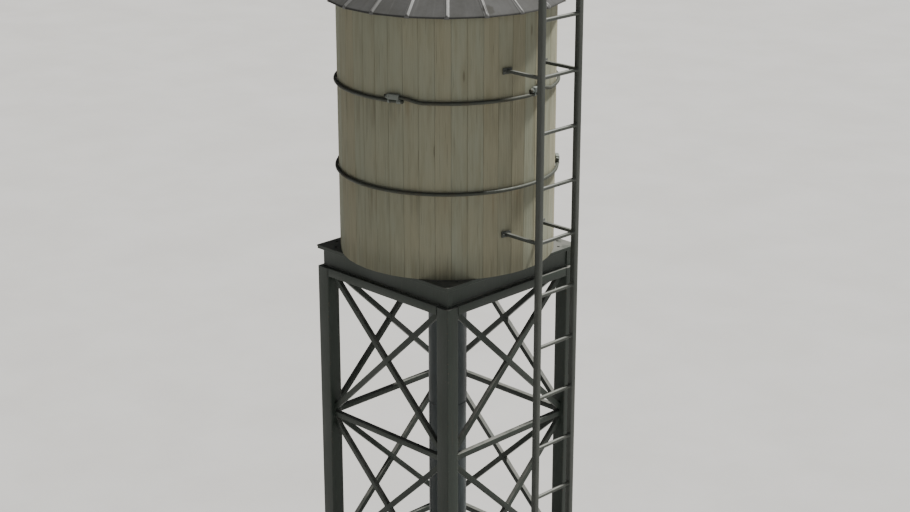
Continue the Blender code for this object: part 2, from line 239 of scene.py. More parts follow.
class Recipe(NodeTree):
    """A Geometry Nodes tree that is run once on a source mesh and leaves a plain mesh."""

    def __init__(self, name: str) -> None:
        """Make the tree with a geometry input and output.

        Args:
            name: the name of the mesh that it makes.
        """
        super().__init__(bpy.data.node_groups.new(f"{name}_recipe", "GeometryNodeTree"))
        self.name = name
        self.values: dict[str, Any] = {}
        for way in ("INPUT", "OUTPUT"):
            self.tree.interface.new_socket("Geometry", in_out=way, socket_type="NodeSocketGeometry")
        self.start = self.tree.nodes.new("NodeGroupInput")
        self.source = self.start.outputs["Geometry"]

    def named(self, name: str, kind: str, value: Any) -> Socket:
        """Add a named input to the tree.

        Args:
            name: its name.
            kind: what it holds, such as Float, Int, Object or Material.
            value: the value that it is run with.

        Returns:
            The socket that gives it inside the tree.
        """
        socket = self.tree.interface.new_socket(name, in_out="INPUT", socket_type=f"NodeSocket{kind}")
        self.values[socket.identifier] = value
        return self.start.outputs[name]

    def chance(self, kind: str, seed: Any, low: Any = None, high: Any = None) -> Socket:
        """Draw a random value for each copy.

        Args:
            kind: Blender's name for the kind of value.
            seed: the number that the draws start from.
            low: the lowest value, or None for 0.
            high: the highest value, or None for 1.

        Returns:
            The socket of the value.
        """
        node = self.add("FunctionNodeRandomValue", data_type=kind)
        live = {socket.name: socket for socket in node.inputs if socket.enabled}
        for name, value in (("Min", low), ("Max", high), ("Seed", seed)):
            if value is not None:
                self.feed(live[name], value)
        return next(socket for socket in node.outputs if socket.enabled)

    def copies(self, points: Socket, part: Object, **how: Any) -> Socket:
        """Put a copy of a part on each point.

        Args:
            points: the socket that holds the points.
            part: what is copied.
            how: the Rotation and the Scale of each copy, where they are given.

        Returns:
            The socket that holds the instances.
        """
        held = self.add("GeometryNodeObjectInfo", {"Object": self.named("Part", "Object", part)})
        inputs = {"Points": points, "Instance": held.outputs["Geometry"], **how}
        return self.out("GeometryNodeInstanceOnPoints", inputs)

    def about_up(self, angle: Socket) -> Socket:
        """Make the turn by an angle about the upright axis."""
        return self.out("FunctionNodeAxisAngleToRotation", {"Axis": (0, 0, 1), "Angle": angle})

    def run(self, copies: Socket, material: Material, source: Mesh) -> Mesh:
        """Close the tree with real geometry and a material, and run it.

        Args:
            copies: the socket that holds the instances.
            material: the material of the whole result.
            source: the mesh that the tree starts from.

        Returns:
            The plain mesh.
        """
        real = self.out("GeometryNodeRealizeInstances", {0: copies})
        finish = self.named("Finish", "Material", material)
        dressed = self.out("GeometryNodeSetMaterial", {"Geometry": real, "Material": finish})
        self.add("NodeGroupOutput", {0: dressed})
        carrier = bpy.data.objects.new(f"{self.name}_source", source)
        bpy.context.scene.collection.objects.link(carrier)
        modifier = carrier.modifiers.new("recipe", "NODES")
        modifier.node_group = self.tree
        for identifier, value in self.values.items():
            modifier[identifier] = value
        view = bpy.context.evaluated_depsgraph_get()
        view.update()
        made = carrier.evaluated_get(view)
        mesh = bpy.data.meshes.new_from_object(made, preserve_all_data_layers=True, depsgraph=view)
        mesh.name = self.name
        carrier.modifiers.remove(modifier)
        bpy.data.objects.remove(carrier)
        return mesh


# Mesh work

def polar(radius: float, angle: float, height: float = 0.0) -> Vector:
    """The point at a distance from the upright axis, at an angle round it and at a height."""
    return Vector((radius * math.cos(angle), radius * math.sin(angle), height))


def around(points: Sequence[Vector]) -> list[Segment]:
    """The lines that join points in a closed loop."""
    return [(point, points[(i + 1) % len(points)]) for i, point in enumerate(points)]


def fresh() -> BMesh:
    """Start a bmesh.

    Returns:
        An empty bmesh whose faces can carry the mark for edges.
    """
    bm = bmesh.new()
    bm.faces.layers.float.new(EDGE)
    return bm


def mesh_of(name: str, bm: BMesh, smooth: float = 30.0, material: Material | None = None) -> Mesh:
    """Turn a bmesh into a mesh with outward normals.

    Args:
        name: the mesh's name.
        bm: the bmesh, which is freed.
        smooth: the angle in degrees under which an edge is smooth.
        material: its material, if it has one already.

    Returns:
        The mesh.
    """
    bmesh.ops.remove_doubles(bm, verts=bm.verts, dist=1e-6)
    bmesh.ops.recalc_face_normals(bm, faces=bm.faces)
    mesh = bpy.data.meshes.new(name)
    bm.to_mesh(mesh)
    bm.free()
    mesh.shade_smooth()
    mesh.set_sharp_from_angle(angle=math.radians(smooth))
    if material:
        mesh.materials.append(material)
    return mesh


def part_of(name: str, bm: BMesh, smooth: float = 30.0) -> Object:
    """Turn a bmesh into an object for a recipe to copy, which is in no collection."""
    return bpy.data.objects.new(name, mesh_of(name, bm, smooth))


def wire(name: str, points: Iterable[Sequence[float]], edges: Iterable[tuple[int, int]] = ()) -> Mesh:
    """Make the mesh of bare points and edges that a recipe starts from.

    Args:
        name: the mesh's name.
        points: its points.
        edges: the two points that each edge joins.

    Returns:
        The mesh.
    """
    mesh = bpy.data.meshes.new(name)
    mesh.from_pydata([tuple(point) for point in points], list(edges), [])
    return mesh


def show(name: str, mesh: Mesh, slot: Slot, *nodes: str) -> None:
    """Put a finished mesh into the scene as a piece of the tower.

    Args:
        name: the piece's name.
        mesh: its mesh, with its material.
        slot: the record's slot that its finish comes from; not used.
        nodes: the CAD nodes that it stands for.
    """
    mesh.name = name
    piece = bpy.data.objects.new(name, mesh)
    bpy.context.scene.collection.objects.link(piece)
    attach(piece, BODY)
    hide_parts(*nodes)
    LOG.info("%s: %d faces", name, len(mesh.polygons))


def join(name: str, *meshes: Mesh) -> Mesh:
    """Join meshes that share one material.

    Args:
        name: the name of the result.
        meshes: the meshes, whose marks are kept.

    Returns:
        The joined mesh.
    """
    bm = fresh()
    for mesh in meshes:
        bm.from_mesh(mesh)
    whole = bpy.data.meshes.new(name)
    bm.to_mesh(whole)
    bm.free()
    whole.materials.append(meshes[0].materials[0])
    return whole


def ring(bm: BMesh, points: Iterable[Sequence[float]]) -> Loop:
    """Add a ring of vertices."""
    return [bm.verts.new(point) for point in points]


def bridge(bm: BMesh, rings: Sequence[Loop], closed: bool = True) -> list[Any]:
    """Join rings of as many vertices each with faces.

    Args:
        bm: the bmesh.
        rings: the rings, in order.
        closed: whether each ring closes on itself.

    Returns:
        The new faces.
    """
    made = []
    for low, high in zip(rings, rings[1:]):
        count = len(low)
        for i in range(count if closed else count - 1):
            j = (i + 1) % count
            made.append(bm.faces.new((low[i], low[j], high[j], high[i])))
    return made


def tube(bm: BMesh, rings: Sequence[Loop]) -> list[Any]:
    """Join rings with faces and close the first and the last.

    Args:
        bm: the bmesh.
        rings: the rings, in order.

    Returns:
        The faces between the rings.
    """
    sides = bridge(bm, rings)
    bm.faces.new(rings[0][::-1])
    bm.faces.new(rings[-1])
    return sides


def lathe(bm: BMesh, profile: Sequence[tuple[float, float]], sides: int, place: Matrix = Matrix()) -> None:
    """Turn an open profile of (radius, height) points round the upright axis, and close its ends."""
    angles = [2 * math.pi * i / sides for i in range(sides)]
    tube(bm, [ring(bm, (place @ polar(radius, a, height) for a in angles)) for radius, height in profile])


def mark_edges(bm: BMesh, faces: Iterable[Any], value: float = 1.0) -> None:
    """Mark faces as worn edges, up to 1, for the materials to find; on the roof the mark also places a painted
    highlight.
    """
    for face in faces:
        face[bm.faces.layers.float[EDGE]] = value


def soften(bm: BMesh, edges: Iterable[Any], width: float, segments: int = 2) -> None:
    """Round edges off and mark the faces that this makes.

    Args:
        bm: the bmesh.
        edges: the edges.
        width: how far the rounding reaches.
        segments: how many faces it has.
    """
    made = bmesh.ops.bevel(bm, geom=list(edges), offset=width, segments=segments, profile=0.6, affect="EDGES",
                           clamp_overlap=True)
    mark_edges(bm, made["faces"])


def soften_long(bm: BMesh, width: float, least: float = 0.1) -> None:
    """Round off the edges that run further than the least length along X."""
    soften(bm, [e for e in bm.edges if abs(e.verts[0].co.x - e.verts[1].co.x) > least], width)


def block(low: Sequence[float], high: Sequence[float], width: float = 0.0, segments: int = 2) -> BMesh:
    """Make a box between two corners with rounded edges.

    Args:
        low: its lowest corner.
        high: its highest corner.
        width: how far the rounding reaches.
        segments: how many faces the rounding has.

    Returns:
        A bmesh that holds only the box.
    """
    bm = fresh()
    centre = [(a + b) / 2 for a, b in zip(low, high)]
    size = [b - a for a, b in zip(low, high)]
    bmesh.ops.create_cube(bm, size=1.0, matrix=Matrix.Translation(centre) @ Matrix.Diagonal((*size, 1.0)))
    if width:
        soften(bm, bm.edges, width, segments)
    return bm


def rolled_bar(section: Sequence[tuple[float, float]], reach: float, width: float) -> BMesh:
    """Make a level bar along X over a section of (y, z) points.

    Args:
        section: the section.
        reach: half the bar's length.
        width: how far the rounding of its long edges reaches.

    Returns:
        A bmesh that holds only the bar.
    """
    bm = fresh()
    tube(bm, [ring(bm, ((x, y, z) for y, z in section)) for x in (-reach, reach)])
    bmesh.ops.recalc_face_normals(bm, faces=bm.faces)
    soften_long(bm, width)
    return bm


def cut_plate(outline: Sequence[Vector], front: float, back: float, width: float) -> BMesh:
    """Make an upright plate over an outline of (x, z) points, with rounded rims.

    Args:
        outline: the outline.
        front: its front face's Y.
        back: its back face's Y.
        width: how far the rounding of its rims reaches.

    Returns:
        A bmesh that holds only the plate.
    """
    bm = fresh()
    near, far = (ring(bm, ((p[0], y, p[1]) for p in outline)) for y in (front, back))
    bm.faces.new(near)
    bm.faces.new(far[::-1])
    bridge(bm, [far, near])
    bmesh.ops.recalc_face_normals(bm, faces=bm.faces)
    soften(bm, [e for e in bm.edges if abs(e.verts[0].co.y - e.verts[1].co.y) < 1e-9], width)
    return bm


def post(centre: tuple[float, float], side: float, bottom: float, top: float, radius: float,
         segments: int = 4) -> BMesh:
    """Make a square post with rounded upright corners and softened ends.

    Args:
        centre: where it stands.
        side: how wide it is.
        bottom: its lower end's height.
        top: its upper end's height.
        radius: the radius of its corners.
        segments: how many faces a corner has.

    Returns:
        A bmesh that holds only the post.
    """
    bm = fresh()
    half, rim, longest = side / 2 - radius, 0.0015, 0.6
    steps = max(2, round((top - bottom) / longest))
    levels = [(bottom, rim), (bottom + rim, 0.0)]
    levels += [(bottom + (top - bottom) * i / steps, 0.0) for i in range(1, steps)]
    levels += [(top - rim, 0.0), (top, rim)]
    turns = [(sx, sy, math.radians(90 * (quarter + step / segments)))
             for quarter, (sx, sy) in enumerate(QUARTERS) for step in range(segments + 1)]
    sides = tube(bm, [ring(bm, ((centre[0] + sx * half + (radius - inset) * math.cos(turn),
                                 centre[1] + sy * half + (radius - inset) * math.sin(turn), height)
                                for sx, sy, turn in turns)) for height, inset in levels])
    mark_edges(bm, [f for i, f in enumerate(sides) if i % len(turns) % (segments + 1) != segments])
    return bm


def add_to(bm: BMesh, other: BMesh, place: Matrix = Matrix()) -> None:
    """Copy one bmesh into another.

    Args:
        bm: the bmesh that receives it.
        other: the bmesh to copy, which is freed.
        place: where it goes.
    """
    other.transform(place)
    scratch = bpy.data.meshes.new("scratch")
    other.to_mesh(scratch)
    other.free()
    bm.from_mesh(scratch)
    bpy.data.meshes.remove(scratch)


# Finishes

@dataclass(frozen=True)
class PaintedSteel:
    """Brushed paint on rolled steel: faded patches, chipped edges, thin rust runs and dust on what faces up."""

    name: str
    paint: Colour
    faded: Colour
    dust: Colour
    rust: Colour = screen(84, 63, 47)
    bare: Colour = screen(76, 76, 72)
    chips: float = 0.5
    dusty: float = 0.6
    gloss: float = 0.55
    metallic: float = 0.0
    specular: float = 0.4

    def material(self) -> Material:
        """Make the material.

        Returns:
            The material.
        """
        sh = Shader(self.name)
        patches, speckle = sh.noise(sh.place, 1.6, 4), sh.noise(sh.place, 130)
        brushed = sh.stretched(sh.place, (60, 60, 9), 4, 0.6)
        runs = sh.stretched(sh.place, (34, 34, 0.8), 5, 0.6)
        colour = sh.mix(sh.span(patches, 0.35, 0.68), self.paint, self.faded)
        colour = sh.tinted(colour, sh.span(brushed, 0.3, 0.7, 0.90, 1.10))
        streak = sh.times(sh.span(runs, 0.60, 0.76, 0.0, 0.40), sh.span(patches, 0.42, 0.62))
        colour = sh.mix(streak, colour, self.rust)
        ragged = sh.plus(sh.noise(sh.place, 55, 5, 0.65), sh.times(sh.mark(EDGE), 0.13 * self.chips))
        worn = sh.span(ragged, 0.66, 0.69)
        spot = sh.mix(sh.span(speckle, 0.40, 0.60), self.rust, self.bare)
        colour = sh.mix(sh.times(worn, 0.75), colour, spot)
        uneven = sh.span(sh.noise(sh.place, 9, 4, 0.6), 0.30, 0.62, 0.35, 1.0)
        settled = sh.times(sh.times(sh.span(sh.upward(), 0.35, 0.75), uneven), self.dusty)
        colour = sh.mix(settled, colour, self.dust)
        rough = sh.span(patches, 0.3, 0.7, self.gloss - 0.08, self.gloss + 0.10)
        rough = sh.math("ADD", rough, sh.times(sh.math("MAXIMUM", worn, settled), 0.25), clamp=True)
        height = sh.plus(sh.times(brushed, 0.5), sh.times(speckle, 0.3))
        height = sh.math("SUBTRACT", height, sh.times(worn, 0.7))
        return sh.close(colour, rough, sh.bump(height, 0.0006), self.metallic, self.specular)


@dataclass(frozen=True)
class StaveWood:
    """Bare weathered softwood whose grain runs up each board, stained under the hoops and at the foot."""

    name: str = "stave_wood"
    tan: Colour = screen(137, 134, 113)
    grey: Colour = screen(132, 134, 117)
    dark: Colour = screen(116, 112, 89)
    stain: Colour = screen(88, 86, 70)
    rust: Colour = screen(112, 100, 76)
    hoops: tuple[float, float] = (5.232, 5.979)
    foot: float = 4.5
    damp: float = 0.28
    run_length: float = 0.36

    def material(self) -> Material:
        """Make the material.

        Returns:
            The material.
        """
        sh = Shader(self.name)
        board = sh.out("ShaderNodeUVMap", uv_map=GRAIN)
        shift = sh.add("ShaderNodeAttribute", attribute_name=SHIFT).outputs["Vector"]
        grain = sh.vector("ADD", board, shift)
        tone, joint = sh.mark(TONE), sh.mark(EDGE)
        fibre = sh.stretched(grain, (420, 6, 1), 5, 0.65)
        band = sh.stretched(grain, (26, 2.2, 1), 3, 0.55)
        sway = sh.times(sh.stretched(grain, (9, 0.9, 1), 2), 34)
        rings = sh.span(sh.math("SINE", sh.plus(sh.times(sh.parts(grain)[0], 290), sway)), -0.9, 1.0)
        blotch = sh.stretched(sh.place, (4.5, 4.5, 1.6), 4, 0.6)
        greyed = sh.plus(tone, sh.math("SUBTRACT", blotch, 0.5))
        colour = sh.mix(sh.span(greyed, 0.15, 0.85), self.tan, self.grey)
        colour = sh.tinted(colour, sh.span(tone, 0.0, 1.0, 0.97, 1.03))
        colour = sh.mix(sh.span(band, 0.42, 0.66, 0.0, 0.34), colour, self.dark)
        # A soft dark band beside the joints of some boards
        seam = sh.times(sh.span(sh.parts(board)[0], 0.030, 0.062, 0.0, 0.45), sh.span(tone, 0.60, 0.75))
        colour = sh.mix(sh.times(seam, sh.span(band, 0.30, 0.55, 0.4, 1.0)), colour, self.dark)
        lines = sh.times(sh.span(rings, 0.0, 1.0, 0.985, 1.012), sh.span(fibre, 0.3, 0.7, 0.955, 1.04))
        colour = sh.tinted(colour, lines)
        # Knots, and fine cracks along the grain
        reach, number = sh.cells(sh.vector("MULTIPLY", grain, (7.0, 1.5, 1)), 1.0)
        rare = sh.math("GREATER_THAN", number, 0.80)
        halo = sh.times(sh.span(reach, 0.08, 0.30, 1.0, 0.0), rare)
        knot = sh.times(sh.span(reach, 0.06, 0.11, 1.0, 0.0), rare)
        colour = sh.mix(sh.times(halo, 0.30), colour, self.dark)
        colour = sh.mix(sh.times(knot, 0.65), colour, self.stain)
        check = sh.span(sh.stretched(grain, (210, 2.2, 1), 2, 0.4), 0.70, 0.735)
        colour = sh.mix(sh.times(check, 0.6), colour, self.stain)
        # Damp at the foot, and runs below the hoops
        height = sh.parts(sh.place)[2]
        drips = sh.stretched(sh.place, (26, 26, 1.0), 4, 0.6)
        wet = sh.span(height, self.foot, self.foot + self.damp, 0.55, 0.0)
        colour = sh.mix(sh.times(wet, sh.span(drips, 0.3, 0.6, 0.4, 1.0)), colour, self.stain)
        for hoop in self.hoops:
            near = sh.span(height, hoop - self.run_length, hoop - 0.01)
            below = sh.times(near, sh.math("LESS_THAN", height, hoop))
            run = sh.times(below, sh.span(drips, 0.46, 0.66, 0.10, 0.55))
            colour = sh.mix(run, colour, sh.mix(sh.span(blotch, 0.45, 0.55), self.stain, self.rust))
        colour = sh.mix(sh.times(joint, 0.12), colour, self.stain)
        relief = sh.plus(sh.times(fibre, 0.6), sh.times(rings, 0.25))
        relief = sh.math("SUBTRACT", relief, sh.times(check, 1.2))
        return sh.close(colour, sh.span(fibre, 0.3, 0.7, 0.72, 0.90), sh.bump(relief, 0.0011), 0.0, 0.25)


@dataclass(frozen=True)
class RoofSheet:
    """Dull galvanised sheet with a faint crystal pattern, streaks down its slope and panels of many tones."""

    name: str = "roof_sheet"
    zinc: Colour = screen(73, 73, 72)
    bright: Colour = screen(106, 106, 104)
    dull: Colour = screen(68, 68, 66)
    dirt: Colour = screen(56, 55, 51)
    smudge: tuple[float, float, float] = (0.861, -0.402, 6.722)
    roughness: float = 0.72
    specular: float = 0.07

    def material(self) -> Material:
        """Make the material.

        Returns:
            The material.
        """
        sh = Shader(self.name)
        down = sh.vector("NORMALIZE", sh.vector("MULTIPLY", sh.place, (1, 1, 0)))
        along = sh.vector("MULTIPLY", sh.place, (1.5, 1.5, 1.5))
        streaks = sh.noise(sh.vector("ADD", sh.vector("MULTIPLY", down, (34, 34, 34)), along), 1.0, 5, 0.6)
        _, grains = sh.cells(sh.place, 55)
        cloud = sh.noise(sh.place, 4.5, 4, 0.6)
        colour = sh.mix(sh.span(cloud, 0.35, 0.65), self.zinc, self.dull)
        colour = sh.tinted(colour, sh.span(sh.mark(TONE), 0.0, 1.0, 0.92, 1.08))
        colour = sh.tinted(colour, sh.span(grains, 0.0, 1.0, 0.96, 1.04))
        colour = sh.mix(sh.times(sh.span(streaks, 0.52, 0.75), 0.30), colour, self.dirt)
        colour = sh.mix(sh.times(sh.span(streaks, 0.45, 0.25), 0.20), colour, self.bright)
        # Partly lighter worn metal, partly a painted highlight: marked faces, the ribs most of all, are mixed
        # towards the bright colour for the sheen along the ribs.
        colour = sh.mix(sh.times(sh.mark(EDGE), 0.80), colour, self.bright)
        # A darker patch is painted round one point near the eave.
        away = sh.add("ShaderNodeVectorMath", {0: sh.place, 1: self.smudge}, operation="DISTANCE")
        ragged = sh.plus(away.outputs["Value"], sh.times(sh.noise(sh.place, 38), 0.05))
        colour = sh.mix(sh.span(ragged, 0.062, 0.088, 0.75, 0.0), colour, self.dirt)
        rough = sh.span(cloud, 0.3, 0.7, self.roughness - 0.05, self.roughness + 0.05)
        rough = sh.plus(rough, sh.times(grains, 0.05))
        relief = sh.plus(sh.noise(sh.place, 5.0, 2), sh.times(sh.noise(sh.place, 90), 0.06))
        return sh.close(colour, rough, sh.bump(relief, 0.003), 0.0, self.specular)


@dataclass(frozen=True)
class HoopIron:
    """Dark iron rod with mill scale, pitting and a skin of rust."""

    name: str = "hoop_iron"
    scale: Colour = screen(54, 57, 50)
    light: Colour = screen(70, 73, 65)
    rust: Colour = screen(74, 69, 57)

    def material(self) -> Material:
        """Make the material.

        Returns:
            The material.
        """
        sh = Shader(self.name)
        patches, pits = sh.noise(sh.place, 6, 4, 0.6), sh.noise(sh.place, 160, 4, 0.6)
        colour = sh.mix(sh.span(pits, 0.35, 0.68), self.scale, self.light)
        rusty = sh.times(sh.span(patches, 0.50, 0.66), sh.span(pits, 0.40, 0.60, 0.3, 0.8))
        rough = sh.span(sh.plus(patches, pits), 0.8, 1.2, 0.5, 0.82)
        return sh.close(sh.mix(rusty, colour, self.rust), rough, sh.bump(pits, 0.0012), 0.2, 0.4)


@dataclass(frozen=True)
class StudioFloor:
    """Pale matt floor with a very faint mottle."""

    name: str = "studio_floor"
    pale: Colour = screen(171, 170, 168)
    other: Colour = screen(166, 165, 163)

    def material(self) -> Material:
        """Make the material.

        Returns:
            The material.
        """
        sh = Shader(self.name)
        mottle, fine = sh.noise(sh.place, 0.7, 5, 0.6), sh.noise(sh.place, 30)
        colour = sh.mix(sh.span(mottle, 0.3, 0.7), self.pale, self.other)
        return sh.close(colour, sh.span(fine, 0.3, 0.7, 0.80, 0.90), sh.bump(fine, 0.0008), 0.0, 0.2)


# Repeated things

@dataclass
class Fastener:
    """A hexagonal nut or bolt head on a washer, with its threaded end."""

    across: float = 0.024
    height: float = 0.014
    washer: float = 0.019
    washer_thickness: float = 0.003
    thread: float = 0.008
    stands: float = 0.012
    rim: float = 0.0008
    turns: int = 4

    def part(self, name: str) -> Object:
        """Build it upright at the origin.

        Args:
            name: its name.

        Returns:
            The object to copy.
        """
        bm = fresh()
        seat, rim = self.washer_thickness, self.rim
        lathe(bm, [(self.washer, 0), (self.washer, seat - rim), (self.washer - rim, seat)], 16)
        top = seat + self.height
        point, flat = self.across / math.sqrt(3), self.across / 2
        lathe(bm, [(point, seat), (point, top - 0.22 * self.height), (flat, top)], 6)
        if self.stands:
            pitch = self.turns + 1
            profile = [(self.thread, top - 0.001)]
            for k in range(self.turns):
                start = top + self.stands * k / pitch
                profile += [(self.thread * 0.84, start + self.stands * 0.5 / pitch),
                            (self.thread, start + self.stands / pitch)]
            lathe(bm, profile + [(self.thread * 0.7, top + self.stands)], 12)
        mark_edges(bm, bm.faces, 0.35)
        return part_of(name, bm)


def turned_part(name: str, radius: float, height: float, steps: Sequence[tuple[float, float]], sides: int,
                wear: float, smooth: float) -> Object:
    """Build a small turned part, such as a rivet's head or one ripple of a weld.

    Args:
        name: its name.
        radius: its radius.
        height: its height.
        steps: its profile, in shares of the radius and the height.
        sides: how many sides it has.
        wear: how far it counts as a worn edge.
        smooth: the angle in degrees under which an edge is smooth.

    Returns:
        The object to copy.
    """
    bm = fresh()
    lathe(bm, [(radius * r, height * h) for r, h in steps], sides)
    mark_edges(bm, bm.faces, wear)
    return part_of(name, bm, smooth)


def scattered(name: str, places: Sequence[tuple[Vector, Vector]], part: Object, material: Material,
              seed: int) -> Mesh:
    """Set a copy of a part on each of many places, by Geometry Nodes.

    Args:
        name: the name of the mesh to make.
        places: the point of each copy and the way that it faces.
        part: what is copied, standing up from its own origin.
        material: the material.
        seed: the seed of the turn of each copy about its own axis.

    Returns:
        The mesh of all copies.
    """
    points = wire(f"{name}_points", (point for point, _ in places))
    facing = points.attributes.new(FACING, "FLOAT_VECTOR", "POINT")
    facing.data.foreach_set("vector", [c for _, way in places for c in way])
    recipe = Recipe(name)
    ways = recipe.add("GeometryNodeInputNamedAttribute", {"Name": FACING}, data_type="FLOAT_VECTOR")
    aimed = recipe.out("FunctionNodeAlignRotationToVector", {"Vector": ways.outputs["Attribute"]}, axis="Z")
    twist = recipe.about_up(recipe.chance("FLOAT", recipe.named("Seed", "Int", seed), high=math.tau))
    turned = recipe.out("FunctionNodeRotateRotation", {0: aimed, 1: twist}, rotation_space="LOCAL")
    return recipe.run(recipe.copies(recipe.source, part, Rotation=turned), material, points)


def welded(name: str, lines: Sequence[Segment], width: float, material: Material, seed: int) -> Mesh:
    """Lay a weld of small ripples along straight lines, by Geometry Nodes.

    Args:
        name: the name of the mesh to make.
        lines: the two ends of each line.
        width: the weld's width.
        material: the material.
        seed: the seed of the ripples' sizes.

    Returns:
        The mesh of the weld.
    """
    edges = [(2 * i, 2 * i + 1) for i in range(len(lines))]
    path = wire(f"{name}_path", (point for line in lines for point in line), edges)
    steps = [(0.45, -0.85), (0.95, -0.25), (0.8, 0.45), (0.3, 0.9)]
    ripple = turned_part("ripple", width / 2, width / 2, steps, 6, 0.25, 80)
    recipe = Recipe(name)
    curve = recipe.out("GeometryNodeMeshToCurve", {0: recipe.source})
    pitch = recipe.named("Pitch", "Float", width * 0.72)
    stops = recipe.add("GeometryNodeCurveToPoints", {"Curve": curve, "Length": pitch}, mode="LENGTH").outputs
    size = recipe.chance("FLOAT", recipe.named("Seed", "Int", seed), 0.82, 1.08)
    copies = recipe.copies(stops["Points"], ripple, Rotation=stops["Rotation"], Scale=size)
    return recipe.run(copies, material, path)


def circled(name: str, part: Object, count: int, phase: float, material: Material, seed: int,
            inset: float = 0.0) -> Mesh:
    """Set copies of a part round the tower's axis, each with a tone of its own, by Geometry Nodes.

    Args:
        name: the name of the mesh to make.
        part: what is copied, in its place on the +X side.
        count: how many copies there are.
        phase: the angle of the first one, in radians.
        material: the material.
        seed: the seed of tones, shifts and insets.
        inset: the largest share that a copy is drawn towards the axis.

    Returns:
        The mesh of all copies.
    """
    recipe = Recipe(name)
    number = recipe.named("Count", "Int", count)
    chance = recipe.named("Seed", "Int", seed)
    step = recipe.times(recipe.out("GeometryNodeInputIndex"), recipe.math("DIVIDE", math.tau, number))
    turn = recipe.about_up(recipe.plus(recipe.named("Phase", "Float", phase), step))
    share = recipe.times(recipe.named("Inset", "Float", inset), recipe.chance("FLOAT", chance))
    tight = recipe.math("SUBTRACT", 1.0, share)
    scale = recipe.out("ShaderNodeCombineXYZ", {0: tight, 1: tight, 2: 1.0})
    points = recipe.out("GeometryNodePoints", {"Count": number})
    geometry = recipe.copies(points, part, Rotation=turn, Scale=scale)
    for mark, kind, extra, high in ((TONE, "FLOAT", 1.0, None), (SHIFT, "FLOAT_VECTOR", 2.0, (7.0, 40.0, 5.0))):
        value = recipe.chance(kind, recipe.plus(chance, extra), high=high)
        stored = {"Geometry": geometry, "Name": mark, "Value": value}
        geometry = recipe.out("GeometryNodeStoreNamedAttribute", stored, data_type=kind, domain="INSTANCE")
    return recipe.run(geometry, material, wire(f"{name}_origin", [(0, 0, 0)]))


def stacked(name: str, part: Object, count: int, pitch: float, material: Material) -> Mesh:
    """Set copies of a part one above the other, by Geometry Nodes.

    Args:
        name: the name of the mesh to make.
        part: what is copied, in the lowest place.
        count: how many copies there are.
        pitch: the height from one to the next.
        material: the material.

    Returns:
        The mesh of all copies.
    """
    recipe = Recipe(name)
    offset = recipe.out("ShaderNodeCombineXYZ", {2: recipe.named("Pitch", "Float", pitch)})
    number = recipe.named("Count", "Int", count)
    line = recipe.out("GeometryNodeMeshLine", {"Count": number, "Offset": offset})
    return recipe.run(recipe.copies(line, part), material, wire(f"{name}_origin", [(0, 0, 0)]))


# Sub-assemblies

@dataclass
class StaveTank:
    """The tank: a ring of upright staves round a floor of planks."""

    finish: StaveWood
    staves: int = 44
    joint_phase: float = math.radians(-2.0)
    thickness: float = 0.045
    joint_gap: float = 0.0004
    chamfer: float = 0.0016
    uneven: float = 0.0016
    top_gap: float = 0.0006
    rows: int = 14
    floor_planks: int = 13
    plank_gap: float = 0.001
    plank_rim: float = 0.004
    seed: int = 11
    material: Material = field(init=False)

    def __post_init__(self) -> None:
        """Make the wood once for all pieces."""
        self.material = self.finish.material()

    def stave(self) -> Object:
        """Build one stave in its place on the +X side.

        Returns:
            The object to copy.
        """
        bm = fresh()
        corner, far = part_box("tank_wall")
        low, rise, outer = corner.z, far.z - self.top_gap - corner.z, far.x
        half = math.pi / self.staves
        inner, rim = outer - self.thickness, outer - self.chamfer
        face, side = half - self.chamfer / outer, half - self.joint_gap / outer
        flat = outer * math.cos(face)
        section = [(flat / math.cos(face * k / 2), face * k / 2) for k in (-2, -1, 0, 1, 2)]
        section += [(rim, side), (inner, side), (inner, 0.0), (inner, -side), (rim, -side)]
        uv = bm.loops.layers.uv.new(GRAIN)
        sides = tube(bm, [ring(bm, (polar(r, a, low + rise * row / self.rows) for r, a in section))
                          for row in range(self.rows + 1)])
        for columns, wear in (((4, 9), 1.0), ((5, 8), 0.8)):
            mark_edges(bm, [f for i, f in enumerate(sides) if i % len(section) in columns], wear)
        for loop in (loop for face in bm.faces for loop in face.loops):
            x, y, z = loop.vert.co
            loop[uv].uv = (math.atan2(y, x) * outer + (outer - math.hypot(x, y)), z)
        return part_of("stave", bm)

    def floor(self) -> Mesh:
        """Lay the floor's planks, cut to the round.

        Returns:
            The mesh of all planks.
        """
        low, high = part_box("tank_floor")
        radius = high.x
        bm = fresh()
        uv = bm.loops.layers.uv.new(GRAIN)
        width = 2 * radius / self.floor_planks
        for plank in range(self.floor_planks):
            left = max(-radius + plank * width + self.plank_gap, -radius + self.plank_rim)
            right = min(-radius + (plank + 1) * width - self.plank_gap, radius - self.plank_rim)
            xs = [left + (right - left) * i / 6 for i in range(7)]
            outline = [(x, -math.sqrt(radius ** 2 - x * x)) for x in xs]
            outline += [(x, math.sqrt(radius ** 2 - x * x)) for x in xs[::-1]]
            tube(bm, [ring(bm, ((x, y, z) for x, y in outline)) for z in (low.z, high.z)])
        for loop in (loop for face in bm.faces for loop in face.loops):
            loop[uv].uv = loop.vert.co.xy
        return mesh_of("floor_planks", bm, 40, self.material)

    def build(self) -> None:
        """Set the staves round the axis and lay the floor."""
        phase = self.joint_phase + math.pi / self.staves
        wall = circled("stave_wall", self.stave(), self.staves, phase, self.material, self.seed, self.uneven)
        show("stave_wall", wall, Slot.WOOD, "tank_wall")
        show("floor_planks", self.floor(), Slot.WOOD, "tank_floor")


